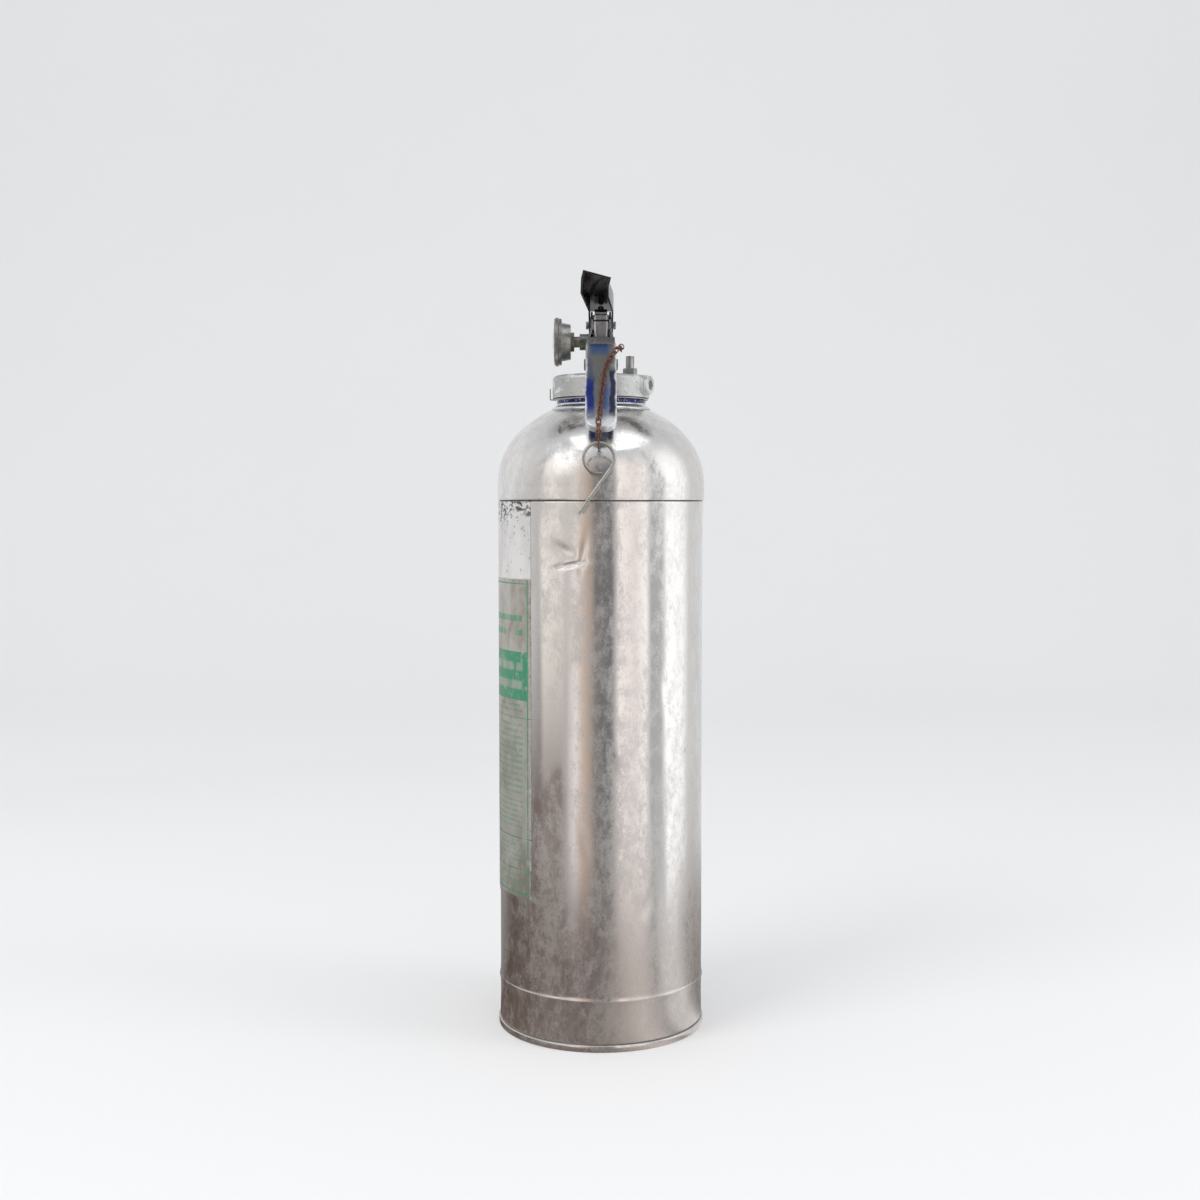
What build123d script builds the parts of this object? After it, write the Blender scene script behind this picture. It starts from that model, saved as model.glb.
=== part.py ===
from build123d import *
import os
from math import acos, atan2, cos, degrees, hypot, radians, sin, sqrt, tan

# Stored-pressure water fire extinguisher, standing upright.
# Millimetres. +Z is up, the origin is the centre of the circle that the foot ring stands on.
# The carry handle and the lever point along -Y, the gauge faces -X.

# ---------------------------------------------------------------- driving dimensions
# Tank
tank_r = 88.9                # half of the 7 inch cylinder
tank_wall = 1.2
foot_r = 90.0                # rolled foot ring
foot_h = 6.0                 # height of the ring's shoulder, where the shell stands
foot_lip = 8.0               # lip that rises inside the shell
bead_z = 42.5                # seam weld of the bottom head
bead_h = 0.5
seam_z = 459.0               # lower edge of the top dome
skirt_r = 89.7
skirt_h = 16.0
dome_wall = 1.4
dome_rise = 70.0
bottom_crown_z = 64.0

# Neck and head
neck_r = 38.9
neck_bore_r = 33.0
neck_top_z = 554.0
gasket_h = 2.0
cap_r = 41.8
cap_bottom_z = 547.0
cap_top_z = 566.0
cap_thread_r = 39.2
hub_r = 17.0
hub_bottom_z = 540.0
chamber_r = 9.0              # bore through the head that holds the valve body's spigot
fit_gap = 0.05

# Valve
stem_r = 2.5
stem_gap = 0.06
seat_z = 551.0
seat_bore_r = 5.0
body_half_w = 6.9            # upper half width of the valve body
body_foot_half_w = 11.3
body_taper_low_z = 584.0
body_taper_high_z = 590.0
body_front_y = -16.0
body_back_y = 18.0
body_block_y = -4.0             # front of the wider block behind the tongue
body_edge_r = 1.4
body_top_z = 617.0
packing_half_w = 5.4
packing_top_z = 622.0
pivot_y = 12.0
pivot_z = 611.0
pivot_pin_r = 2.5

# Outlet and charging valve
outlet_az = -26.0            # degrees from +X towards -Y
outlet_z = 557.0
outlet_r = 8.0
outlet_end = 47.3            # distance of the mouth from the tank's axis
passage_z = 561.0
passage_r = 3.0
air_x = 25.2
air_stem_r = 3.65
air_top_z = 583.3

# Gauge, measured outwards along -X
gauge_y = -5.0
gauge_z = 595.0
gauge_boss_r = 7.0
gauge_boss_end = 18.3
gauge_hex_start = 23.0
gauge_back = 26.0
gauge_rim = 35.5
gauge_face_r = 20.75
gauge_apex = 41.6

# Carry handle
sheet = 1.6
handle_half_w = 13.0
cheek_half_w = 8.6           # outer half width of the cheeks at the pivot
cheek_front_y = -26.0
cheek_back_y = 20.0
flare_low_z = 590.0          # where the cheeks start to lean inwards
flare_high_z = 605.0         # where they stand upright again
lip_low_z = 588.0
lip_high_z = 597.0
rivet_z = 576.0
rivet_spots = (-10.0, 11.0)  # Y of the two rivets
rivet_r = 2.5
arm_start = (-27.0, 592.0)   # Y, Z of the upper end of the sloping grip
arm_slope = 47.5             # degrees below the horizontal
arm_len = 99.8
arm_depth = 6.5
arm_end_r = 10.0

# Lever
lever_sheet = 1.5
lever_half_w = 10.6
lever_rise = 9.0             # degrees above the horizontal at rest
lever_h = 14.0               # pivot to the underside of the web
lever_tip_y = -85.0

# Pull pin and chain
pin_wire_r = 1.4
ring_r = 12.35
ring_center = (-1.6, -97.5, 493.0)
pin_tip_x = -18.4
pin_tip_z = 448.0
link_wire_r = 0.55
link_len = 8.0
link_w = 5.2
link_pitch = 5.5
link_turn = 88.0             # roll from one link to the next, in degrees

os.makedirs("parts", exist_ok=True)


# ---------------------------------------------------------------- shared shapes
def ring(outer, inner, low, high):
    """A plain ring or washer on the tank's axis."""
    with BuildPart() as washer:
        with BuildSketch(Plane.XY.offset(low)):
            Circle(outer)
            Circle(inner, mode=Mode.SUBTRACT)
        extrude(amount=high - low)
    return washer.part


def gauge_disc(outer, inner, start, end):
    """A ring on the gauge's axis, between two distances along -X."""
    with BuildPart() as disc:
        with BuildSketch(Plane(origin=(-start, gauge_y, gauge_z), z_dir=(-1, 0, 0))):
            Circle(outer)
            if inner > 0:
                Circle(inner, mode=Mode.SUBTRACT)
        extrude(amount=end - start)
    return disc.part


def outlet_plane(distance, height):
    """A plane across the outlet's axis, at a distance from the tank's axis."""
    angle = radians(outlet_az)
    spot = (distance * cos(angle), distance * sin(angle), height)
    return Plane(origin=spot, z_dir=(cos(angle), sin(angle), 0))


def cap_radius(half_chord, height):
    """Radius of the sphere that a shallow cap is cut from."""
    return (half_chord**2 + height**2) / (2 * height)


gauge_plane = Plane(origin=(0, gauge_y, gauge_z), x_dir=(-1, 0, 0), z_dir=(0, 0, 1))
gauge_axis = Axis(origin=(0, gauge_y, gauge_z), direction=(-1, 0, 0))

# ---------------------------------------------------------------- tank
shell_in = tank_r - tank_wall
lap_r = skirt_r - dome_wall - 0.1
lap_top_z = seam_z + 14.0
with BuildPart() as tank_shell:
    with BuildSketch(Plane.XZ):
        with BuildLine():
            Line((tank_r, foot_h), (tank_r, bead_z - 2))
            ThreePointArc((tank_r, bead_z - 2), (tank_r + bead_h, bead_z), (tank_r, bead_z + 2))
            Polyline(
                (tank_r, bead_z + 2),
                (tank_r, seam_z - 1.4),
                (lap_r, seam_z - 0.2),
                (lap_r, lap_top_z),
                (lap_r - tank_wall, lap_top_z),
                (lap_r - tank_wall, seam_z - 0.2),
                (shell_in, seam_z - 1.4),
                (shell_in, foot_h),
                (tank_r, foot_h),
            )
        make_face()
    revolve(axis=Axis.Z)
tank_shell.part.label = "tank_shell"
export_step(tank_shell.part, "parts/tank_shell.step")

with BuildPart() as foot_ring:
    with BuildSketch(Plane.XZ):
        with BuildLine():
            Polyline(
                (foot_r - 4, 0),
                (foot_r, 0),
                (foot_r, foot_h),
                (shell_in - fit_gap, foot_h),
                (shell_in - fit_gap, foot_h + foot_lip),
                (foot_r - 4, foot_h + foot_lip),
                (foot_r - 4, 0),
            )
        make_face()
    revolve(axis=Axis.Z)
    foot_edges = foot_ring.edges().filter_by(GeomType.CIRCLE)
    fillet(foot_edges.group_by(Axis.Z)[0], radius=1.5)
    top_outer = foot_ring.edges().filter_by(GeomType.CIRCLE).sort_by(SortBy.RADIUS)[-1]
    fillet(top_outer, radius=0.9)
foot_ring.part.label = "foot_ring"
export_step(foot_ring.part, "parts/foot_ring.step")

# The bottom head is dished up into the tank, with a flange welded inside the shell.
flange_r = shell_in - fit_gap
flange_low_z = bead_z - 8.0
flange_top_z = bead_z + 4.0
head_wall = 1.5
crown_h = bottom_crown_z - flange_top_z
crown_r = cap_radius(flange_r, crown_h)
crown_center_z = bottom_crown_z - crown_r
under_edge_z = crown_center_z + sqrt((crown_r - head_wall) ** 2 - (flange_r - head_wall) ** 2)
with BuildPart() as bottom_head:
    with BuildSketch(Plane.XZ):
        with BuildLine():
            top_arc = RadiusArc((flange_r, flange_top_z), (0, bottom_crown_z), -crown_r)
            Line((0, bottom_crown_z), (0, bottom_crown_z - head_wall))
            RadiusArc(
                (0, bottom_crown_z - head_wall), (flange_r - head_wall, under_edge_z), crown_r - head_wall
            )
            Polyline(
                (flange_r - head_wall, under_edge_z),
                (flange_r - head_wall, flange_low_z),
                (flange_r, flange_low_z),
                (flange_r, flange_top_z),
            )
        make_face()
    revolve(axis=Axis.Z)
bottom_head.part.label = "bottom_head"
export_step(bottom_head.part, "parts/bottom_head.step")

# The top dome is a cylinder skirt and a quarter ellipse, opened for the neck ring.
dome_base_z = seam_z + skirt_h
dome_hole_r = neck_r - 1.4
dome_in = skirt_r - dome_wall
rise_in = dome_rise - dome_wall
outer_stop = degrees(acos(dome_hole_r / skirt_r))
inner_stop = degrees(acos(dome_hole_r / dome_in))
with BuildPart() as top_dome:
    with BuildSketch(Plane.XZ):
        with BuildLine():
            Line((skirt_r, seam_z), (skirt_r, dome_base_z))
            outer_arc = EllipticalCenterArc(
                (0, dome_base_z), skirt_r, dome_rise, start_angle=0, arc_size=outer_stop
            )
            inner_arc = EllipticalCenterArc(
                (0, dome_base_z), dome_in, rise_in, start_angle=0, arc_size=inner_stop
            )
            Line(outer_arc @ 1, inner_arc @ 1)
            Polyline(inner_arc @ 0, (dome_in, seam_z), (skirt_r, seam_z))
        make_face()
    revolve(axis=Axis.Z)
top_dome.part.label = "top_dome"
export_step(top_dome.part, "parts/top_dome.step")

# The neck ring stands in the dome's hole. Its flared foot is the weld fillet.
dome_top_z = (outer_arc @ 1).Y
with BuildPart() as neck_ring:
    with BuildSketch(Plane.XZ):
        with BuildLine():
            Polyline(
                (neck_bore_r, dome_top_z - 17),
                (dome_hole_r - fit_gap, dome_top_z - 17),
                (dome_hole_r - fit_gap, dome_top_z + 0.2),
                (dome_hole_r + 5.6, dome_top_z - 2.1),
                (dome_hole_r + 4.2, dome_top_z + 0.1),
                (neck_r + 0.5, dome_top_z + 1.8),
                (neck_r, dome_top_z + 3),
                (neck_r, neck_top_z),
                (neck_bore_r, neck_top_z),
                (neck_bore_r, dome_top_z - 17),
            )
        make_face()
    revolve(axis=Axis.Z)
neck_ring.part.label = "neck_ring"
export_step(neck_ring.part, "parts/neck_ring.step")


def tank_sticker(low, high, inner, thick, spread):
    """A thin curved panel centred on the gauge's side of the tank."""
    with BuildPart() as sticker:
        with BuildSketch(Plane.XZ):
            with Locations((inner + thick / 2, (low + high) / 2)):
                Rectangle(thick, high - low)
        revolve(axis=Axis.Z, revolution_arc=spread)
    return sticker.part.rotate(Axis.Z, 180 - spread / 2)


sticker_spread = 98.0
with BuildPart() as instruction_label:
    add(tank_sticker(123.0, 393.0, tank_r + fit_gap, 0.3, sticker_spread))
instruction_label.part.label = "instruction_label"
export_step(instruction_label.part, "parts/instruction_label.step")

with BuildPart() as service_panel:
    add(tank_sticker(394.0, seam_z - 1, tank_r + fit_gap, 0.2, sticker_spread))
service_panel.part.label = "service_panel"
export_step(service_panel.part, "parts/service_panel.step")

# A tag wire lies round the neck under the cap, with a hairpin standing out on the gauge's side.
wire_r = 0.5
wire_ring_r = 40.3
wire_z = cap_bottom_z - 1.2
hairpin_x = -(cap_r + 2.1)
with BuildPart() as seal_wire:
    with BuildSketch(Plane.XZ):
        with Locations((wire_ring_r, wire_z)):
            Circle(wire_r)
    revolve(axis=Axis.Z)
    with BuildLine():
        hairpin = FilletPolyline(
            (-wire_ring_r, -2.5, wire_z),
            (hairpin_x, -2.5, wire_z),
            (hairpin_x, -1.2, wire_z + 9),
            (hairpin_x, 1.2, wire_z + 9),
            (hairpin_x, 2.5, wire_z),
            (-wire_ring_r, 2.5, wire_z),
            radius=0.9,
        )
    with BuildSketch(Plane(origin=hairpin @ 0, z_dir=hairpin % 0)):
        Circle(wire_r)
    sweep()
seal_wire.part.label = "seal_wire"
export_step(seal_wire.part, "parts/seal_wire.step")

# ---------------------------------------------------------------- screwed head
ceiling_z = neck_top_z + gasket_h
with BuildPart() as collar_gasket:
    add(ring(neck_r - 0.5, neck_bore_r + 0.2, neck_top_z + fit_gap, ceiling_z - fit_gap))
collar_gasket.part.label = "collar_gasket"
export_step(collar_gasket.part, "parts/collar_gasket.step")

with BuildPart() as head_cap:
    with BuildSketch(Plane.XZ):
        with BuildLine():
            Polyline(
                (chamber_r, hub_bottom_z),
                (hub_r, hub_bottom_z),
                (hub_r, ceiling_z),
                (cap_thread_r, ceiling_z),
                (cap_thread_r, cap_bottom_z),
                (cap_r, cap_bottom_z),
                (cap_r, cap_top_z),
                (chamber_r, cap_top_z),
                (chamber_r, hub_bottom_z),
            )
        make_face()
    revolve(axis=Axis.Z)
    cap_rims = head_cap.edges().filter_by(GeomType.CIRCLE)
    fillet(cap_rims.group_by(Axis.Z)[-1].sort_by(SortBy.RADIUS)[-1], radius=3.5)
    # boss for the outlet, flush with the cap's wall and standing out of it
    with BuildSketch(outlet_plane(cap_thread_r + 0.8, outlet_z)):
        Circle(outlet_r + 0.9)
    extrude(amount=3.6)
    with BuildSketch(outlet_plane(cap_thread_r + 1.6, outlet_z)):
        Circle(outlet_r - 2)
    extrude(amount=5, mode=Mode.SUBTRACT)
    with BuildSketch(outlet_plane(0, passage_z)):
        Circle(passage_r)
    extrude(amount=cap_thread_r + 3, mode=Mode.SUBTRACT)
    with BuildSketch(Plane.XY.offset(ceiling_z - 1)):
        with Locations((air_x, 0)):
            Circle(air_stem_r)
    extrude(amount=20, mode=Mode.SUBTRACT)
head_cap.part.label = "head_cap"
export_step(head_cap.part, "parts/head_cap.step")

with BuildPart() as outlet_nipple:
    with BuildSketch(outlet_plane(cap_thread_r + 4.4, outlet_z)):
        Circle(outlet_r)
    extrude(amount=outlet_end - cap_thread_r - 4.4)
    chamfer(outlet_nipple.edges().filter_by(GeomType.CIRCLE), length=0.6)
    with BuildSketch(outlet_plane(cap_thread_r + 1.6, outlet_z)):
        Circle(outlet_r - 2 - fit_gap)
    extrude(amount=4)
    with BuildSketch(outlet_plane(cap_thread_r, outlet_z)):
        Circle(4.4)
    extrude(amount=12, mode=Mode.SUBTRACT)
outlet_nipple.part.label = "outlet_nipple"
export_step(outlet_nipple.part, "parts/outlet_nipple.step")

# The valve body: wide foot between the handle's cheeks, narrow above, spigot in the head.
with BuildPart() as valve_body:
    with BuildSketch(Plane.XZ.offset(-body_front_y)):
        with BuildLine():
            Polyline(
                (-body_foot_half_w, cap_top_z),
                (body_foot_half_w, cap_top_z),
                (body_foot_half_w, body_taper_low_z),
                (body_half_w, body_taper_high_z),
                (body_half_w, body_top_z),
                (-body_half_w, body_top_z),
                (-body_half_w, body_taper_high_z),
                (-body_foot_half_w, body_taper_low_z),
                (-body_foot_half_w, cap_top_z),
            )
        make_face()
    extrude(amount=body_front_y - body_back_y)
    upright = valve_body.edges().filter_by(Axis.Z)
    tall_front = upright.sort_by(SortBy.LENGTH)[-4:].sort_by(Axis.Y)[:2]
    fillet([edge for edge in upright if edge not in tall_front], radius=body_edge_r)
    fillet(tall_front, radius=2.6)
    # wider block behind the tongue, which fills the space between the cheeks
    with BuildSketch(Plane.XZ.offset(-body_block_y)):
        with BuildLine():
            Polyline(
                (-body_foot_half_w, cap_top_z),
                (body_foot_half_w, cap_top_z),
                (body_foot_half_w, flare_low_z - 1),
                (body_half_w, flare_high_z - 1),
                (-body_half_w, flare_high_z - 1),
                (-body_foot_half_w, flare_low_z - 1),
                (-body_foot_half_w, cap_top_z),
            )
        make_face()
    extrude(amount=body_block_y - body_back_y + body_edge_r)
    with BuildSketch(Plane.XY.offset(seat_z)):
        Circle(chamber_r - fit_gap)
    extrude(amount=cap_top_z - seat_z)
    with BuildSketch(Plane(origin=(-body_half_w + 2, gauge_y, gauge_z), z_dir=(-1, 0, 0))):
        Circle(gauge_boss_r)
    extrude(amount=gauge_boss_end - body_half_w + 2)
    # stem bore, packing recess and the chamber above the seat
    with BuildSketch(Plane.XY.offset(seat_z)):
        Circle(seat_bore_r)
    extrude(amount=cap_top_z - seat_z, mode=Mode.SUBTRACT)
    with BuildSketch(Plane.XY.offset(seat_z)):
        Circle(stem_r + stem_gap)
    extrude(amount=body_top_z - seat_z, mode=Mode.SUBTRACT)
    with BuildSketch(Plane.XY.offset(body_top_z - 5)):
        Circle(5)
    extrude(amount=5, mode=Mode.SUBTRACT)
    with BuildSketch(outlet_plane(0, passage_z)):
        Circle(passage_r)
    extrude(amount=chamber_r + 1, mode=Mode.SUBTRACT)
    # gauge socket and its pressure port
    with BuildSketch(Plane(origin=(-gauge_boss_end, gauge_y, gauge_z), z_dir=(1, 0, 0))):
        Circle(4.7)
    extrude(amount=7.5, mode=Mode.SUBTRACT)
    with BuildSketch(Plane(origin=(-gauge_boss_end, gauge_y, gauge_z), z_dir=(1, 0, 0))):
        Circle(1.5)
    extrude(amount=gauge_boss_end - 4, mode=Mode.SUBTRACT)
    with BuildSketch(Plane.XY.offset(seat_z)):
        with Locations((-4, -5.75)):
            Circle(1.2)
    extrude(amount=gauge_z - seat_z, mode=Mode.SUBTRACT)
    # cross holes for the lever pin and the two handle rivets
    with BuildSketch(Plane.YZ.offset(-20)):
        with Locations((pivot_y, pivot_z)):
            Circle(pivot_pin_r + fit_gap)
        with Locations([(y, rivet_z) for y in rivet_spots]):
            Circle(rivet_r + fit_gap)
    extrude(amount=40, mode=Mode.SUBTRACT)
valve_body.part.label = "valve_body"
export_step(valve_body.part, "parts/valve_body.step")

with BuildPart() as packing_cap:
    with BuildSketch(Plane.XY.offset(body_top_z)):
        Circle(5.4)
    extrude(amount=1)
    with BuildSketch(Plane.XY.offset(body_top_z + 0.7)):
        with Locations((0, (body_front_y + 8) / 2)):
            Rectangle(2 * packing_half_w, 8 - body_front_y)
    extrude(amount=packing_top_z - body_top_z - 0.7)
    front_top = packing_cap.edges().filter_by(Axis.X).group_by(Axis.Z)[-1].sort_by(Axis.Y)[0]
    chamfer(front_top, length=2.6)
    with BuildSketch(Plane.XY.offset(body_top_z)):
        Circle(stem_r + stem_gap)
    extrude(amount=8, mode=Mode.SUBTRACT)
packing_cap.part.label = "packing_cap"
export_step(packing_cap.part, "parts/packing_cap.step")

with BuildPart() as stem_packing:
    add(ring(5 - fit_gap, stem_r + stem_gap, body_top_z - 4.9, body_top_z - 0.3))
stem_packing.part.label = "stem_packing"
export_step(stem_packing.part, "parts/stem_packing.step")

# The lever's web lies this high over the stem at rest; the stem's tip stands a little below it.
web_over_stem = lever_h / cos(radians(lever_rise)) + pivot_y * tan(radians(lever_rise))
stem_top_z = pivot_z + web_over_stem - 0.75
poppet_z = seat_z - 2
with BuildPart() as valve_stem:
    with BuildSketch(Plane.XY.offset(poppet_z - 7)):
        Circle(stem_r)
    extrude(amount=stem_top_z - poppet_z + 7)
    tip = valve_stem.edges().group_by(Axis.Z)[-1]
    fillet(tip, radius=1.6)
valve_stem.part.label = "valve_stem"
export_step(valve_stem.part, "parts/valve_stem.step")

with BuildPart() as poppet:
    add(ring(6.5, stem_r, poppet_z - 4, poppet_z))
poppet.part.label = "poppet"
export_step(poppet.part, "parts/poppet.step")

with BuildPart() as poppet_seal:
    add(ring(6.2, stem_r, poppet_z, seat_z - 0.1))
poppet_seal.part.label = "poppet_seal"
export_step(poppet_seal.part, "parts/poppet_seal.step")

adapter_shelf_z = 526.0
adapter_bottom_z = 516.0
with BuildPart() as siphon_adapter:
    with BuildSketch(Plane.XY.offset(adapter_bottom_z)):
        RegularPolygon(radius=11, side_count=6)
    extrude(amount=hub_bottom_z - adapter_bottom_z)
    with BuildSketch(Plane.XY.offset(hub_bottom_z)):
        Circle(chamber_r - fit_gap)
    extrude(amount=2.4)
    with BuildSketch(Plane.XY.offset(adapter_shelf_z)):
        Circle(7)
    extrude(amount=20, mode=Mode.SUBTRACT)
    with BuildSketch(Plane.XY.offset(adapter_bottom_z)):
        Circle(4.5)
    extrude(amount=20, mode=Mode.SUBTRACT)
    with BuildSketch(Plane.XY.offset(adapter_bottom_z)):
        Circle(6 + fit_gap)
    extrude(amount=6, mode=Mode.SUBTRACT)
siphon_adapter.part.label = "siphon_adapter"
export_step(siphon_adapter.part, "parts/siphon_adapter.step")

spring_wire_r = 0.6
spring_low_z = adapter_shelf_z + spring_wire_r + 0.1
spring_high_z = poppet_z - 4 - spring_wire_r - 0.1
with BuildPart() as valve_spring:
    with BuildLine():
        coil = Helix(pitch=(spring_high_z - spring_low_z) / 5, height=spring_high_z - spring_low_z,
                     radius=4.9, center=(0, 0, spring_low_z))
    with BuildSketch(Plane(origin=coil @ 0, z_dir=coil % 0)):
        Circle(spring_wire_r)
    sweep()
valve_spring.part.label = "valve_spring"
export_step(valve_spring.part, "parts/valve_spring.step")

siphon_foot_z = 68.0
with BuildPart() as siphon_tube:
    add(ring(6, 5, siphon_foot_z + 6, adapter_bottom_z + 5.9))
siphon_tube.part.label = "siphon_tube"
export_step(siphon_tube.part, "parts/siphon_tube.step")

with BuildPart() as siphon_strainer:
    with BuildSketch(Plane.XY.offset(siphon_foot_z)):
        Circle(8)
    extrude(amount=16)
    with BuildSketch(Plane.XY.offset(siphon_foot_z + 1.5)):
        Circle(6 + fit_gap)
    extrude(amount=16, mode=Mode.SUBTRACT)
    with PolarLocations(0, 6):
        with Locations((8, 0, siphon_foot_z + 3.6)):
            Box(8, 2.4, 3.6, mode=Mode.SUBTRACT)
siphon_strainer.part.label = "siphon_strainer"
export_step(siphon_strainer.part, "parts/siphon_strainer.step")

# ---------------------------------------------------------------- charging valve
air_hex_top_z = 573.0
air_bore_r = 2.3
with BuildPart() as air_valve_body:
    with BuildSketch(Plane.XY.offset(cap_top_z)):
        with Locations((air_x, 0)):
            RegularPolygon(radius=6.2, side_count=6)
    extrude(amount=air_hex_top_z - cap_top_z)
    chamfer(air_valve_body.edges().group_by(Axis.Z)[-1], length=0.6)
    with BuildSketch(Plane.XY.offset(ceiling_z - 6)):
        with Locations((air_x, 0)):
            Circle(air_stem_r - fit_gap)
    extrude(amount=air_top_z - ceiling_z + 6)
    with BuildSketch(Plane.XY.offset(ceiling_z - 6)):
        with Locations((air_x, 0)):
            Circle(air_bore_r)
    extrude(amount=air_top_z, mode=Mode.SUBTRACT)
air_valve_body.part.label = "air_valve_body"
export_step(air_valve_body.part, "parts/air_valve_body.step")

with BuildPart() as air_valve_nut:
    with BuildSketch(Plane.XY.offset(ceiling_z - 5)):
        with Locations((air_x, 0)):
            RegularPolygon(radius=6.2, side_count=6)
            Circle(air_stem_r, mode=Mode.SUBTRACT)
    extrude(amount=5)
air_valve_nut.part.label = "air_valve_nut"
export_step(air_valve_nut.part, "parts/air_valve_nut.step")

with BuildPart() as air_valve_core:
    with BuildSketch(Plane.XY.offset(air_hex_top_z - 8)):
        with Locations((air_x, 0)):
            Circle(0.8)
    extrude(amount=air_top_z - air_hex_top_z + 7.2)
    with BuildSketch(Plane.XY.offset(air_hex_top_z - 8)):
        with Locations((air_x, 0)):
            Circle(1.9)
    extrude(amount=2)
air_valve_core.part.label = "air_valve_core"
export_step(air_valve_core.part, "parts/air_valve_core.step")

# ---------------------------------------------------------------- pressure gauge
with BuildPart() as gauge_stem:
    with BuildSketch(Plane(origin=(-gauge_hex_start, gauge_y, gauge_z), z_dir=(-1, 0, 0))):
        RegularPolygon(radius=8.2, side_count=6)
    extrude(amount=gauge_back - gauge_hex_start)
    add(gauge_disc(4.65, 0, gauge_boss_end - 6, gauge_hex_start))
    add(gauge_disc(1.2, 0, gauge_boss_end - 7, gauge_back + 1), mode=Mode.SUBTRACT)
gauge_stem.part.label = "gauge_stem"
export_step(gauge_stem.part, "parts/gauge_stem.step")

case_back_r = 15.0
case_front_r = 16.6
case_wall = 1.1
with BuildPart() as gauge_case:
    with BuildSketch(gauge_plane):
        with BuildLine():
            Polyline(
                (gauge_back, 1.2),
                (gauge_back, case_back_r),
                (gauge_rim - 1, case_front_r),
                (gauge_rim - 1, 19),
                (gauge_rim, 19),
                (gauge_rim, case_front_r - case_wall),
                (gauge_back + case_wall, case_back_r - case_wall),
                (gauge_back + case_wall, 1.2),
                (gauge_back, 1.2),
            )
        make_face()
    revolve(axis=gauge_axis)
gauge_case.part.label = "gauge_case"
export_step(gauge_case.part, "parts/gauge_case.step")

with BuildPart() as gauge_bezel:
    with BuildSketch(gauge_plane):
        with BuildLine():
            Polyline(
                (gauge_rim - 1.6, 19.1),
                (gauge_rim - 1.6, 19.9),
                (gauge_rim + 0.4, 19.9),
                (gauge_rim + 1.0, gauge_face_r),
                (gauge_rim + 3.4, gauge_face_r),
                (gauge_rim + 4.5, 19.6),
                (gauge_rim + 4.5, 17.8),
                (gauge_rim + 3.7, 17.8),
                (gauge_rim + 3.7, 19.1),
                (gauge_rim - 1.6, 19.1),
            )
        make_face()
    revolve(axis=gauge_axis)
gauge_bezel.part.label = "gauge_bezel"
export_step(gauge_bezel.part, "parts/gauge_bezel.step")

lens_edge = gauge_rim + 2.4
lens_wall = 1.2
lens_rise = 2.5
lens_under_rise = gauge_apex - lens_wall - lens_edge
lens_clear_r = 17.7
lens_under_r = lens_clear_r - 0.5
with BuildPart() as gauge_lens:
    with BuildSketch(gauge_plane):
        with BuildLine():
            RadiusArc(
                (gauge_apex, 0), (gauge_apex - lens_rise, lens_clear_r), -cap_radius(lens_clear_r, lens_rise)
            )
            Polyline(
                (gauge_apex - lens_rise, lens_clear_r),
                (gauge_apex - lens_rise, 19.0),
                (lens_edge, 19.0),
                (lens_edge, lens_under_r),
            )
            RadiusArc(
                (lens_edge, lens_under_r),
                (gauge_apex - lens_wall, 0),
                cap_radius(lens_under_r, lens_under_rise),
            )
            Line((gauge_apex - lens_wall, 0), (gauge_apex, 0))
        make_face()
    revolve(axis=gauge_axis)
gauge_lens.part.label = "gauge_lens"
export_step(gauge_lens.part, "parts/gauge_lens.step")

with BuildPart() as gauge_dial:
    add(gauge_disc(18.9, 0.9, gauge_rim, gauge_rim + 0.6))
gauge_dial.part.label = "gauge_dial"
export_step(gauge_dial.part, "parts/gauge_dial.step")

# The pointer lies on the empty mark, towards +Y, and turns over the top of the dial.
pointer_x = gauge_rim + 1.2
with BuildPart() as gauge_pointer:
    with BuildSketch(Plane(origin=(-pointer_x, gauge_y, gauge_z), x_dir=(0, 1, 0), z_dir=(-1, 0, 0))):
        with BuildLine():
            Polyline((-4, -1.1), (0, -1.3), (13.5, -0.3), (13.5, 0.3), (0, 1.3), (-4, 1.1), (-4, -1.1))
        make_face()
        Circle(2)
    extrude(amount=0.5)
    add(gauge_disc(0.8, 0, gauge_rim - 3, pointer_x + 1.0))
gauge_pointer.part.label = "gauge_pointer"
export_step(gauge_pointer.part, "parts/gauge_pointer.step")

with BuildPart() as bourdon_tube:
    with BuildSketch(Plane(origin=(-29.6, gauge_y, gauge_z), z_dir=(-1, 0, 0))):
        Circle(11.4)
        Circle(8.6, mode=Mode.SUBTRACT)
        with Locations((0, -10)):
            Rectangle(6, 8, mode=Mode.SUBTRACT)
    extrude(amount=3.4)
    with BuildSketch(Plane(origin=(-gauge_back - case_wall, gauge_y, gauge_z), z_dir=(-1, 0, 0))):
        with Locations((-6, 0)):
            Rectangle(8, 5)
    extrude(amount=4)
bourdon_tube.part.label = "bourdon_tube"
export_step(bourdon_tube.part, "parts/bourdon_tube.step")

# ---------------------------------------------------------------- carry handle
slope = radians(arm_slope)
arm_normal = (0, -sin(slope), cos(slope))
arm_plane = Plane(origin=(0, arm_start[0], arm_start[1]), x_dir=(1, 0, 0), z_dir=arm_normal)
lock_hole = (-21.0, 611.0)
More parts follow.
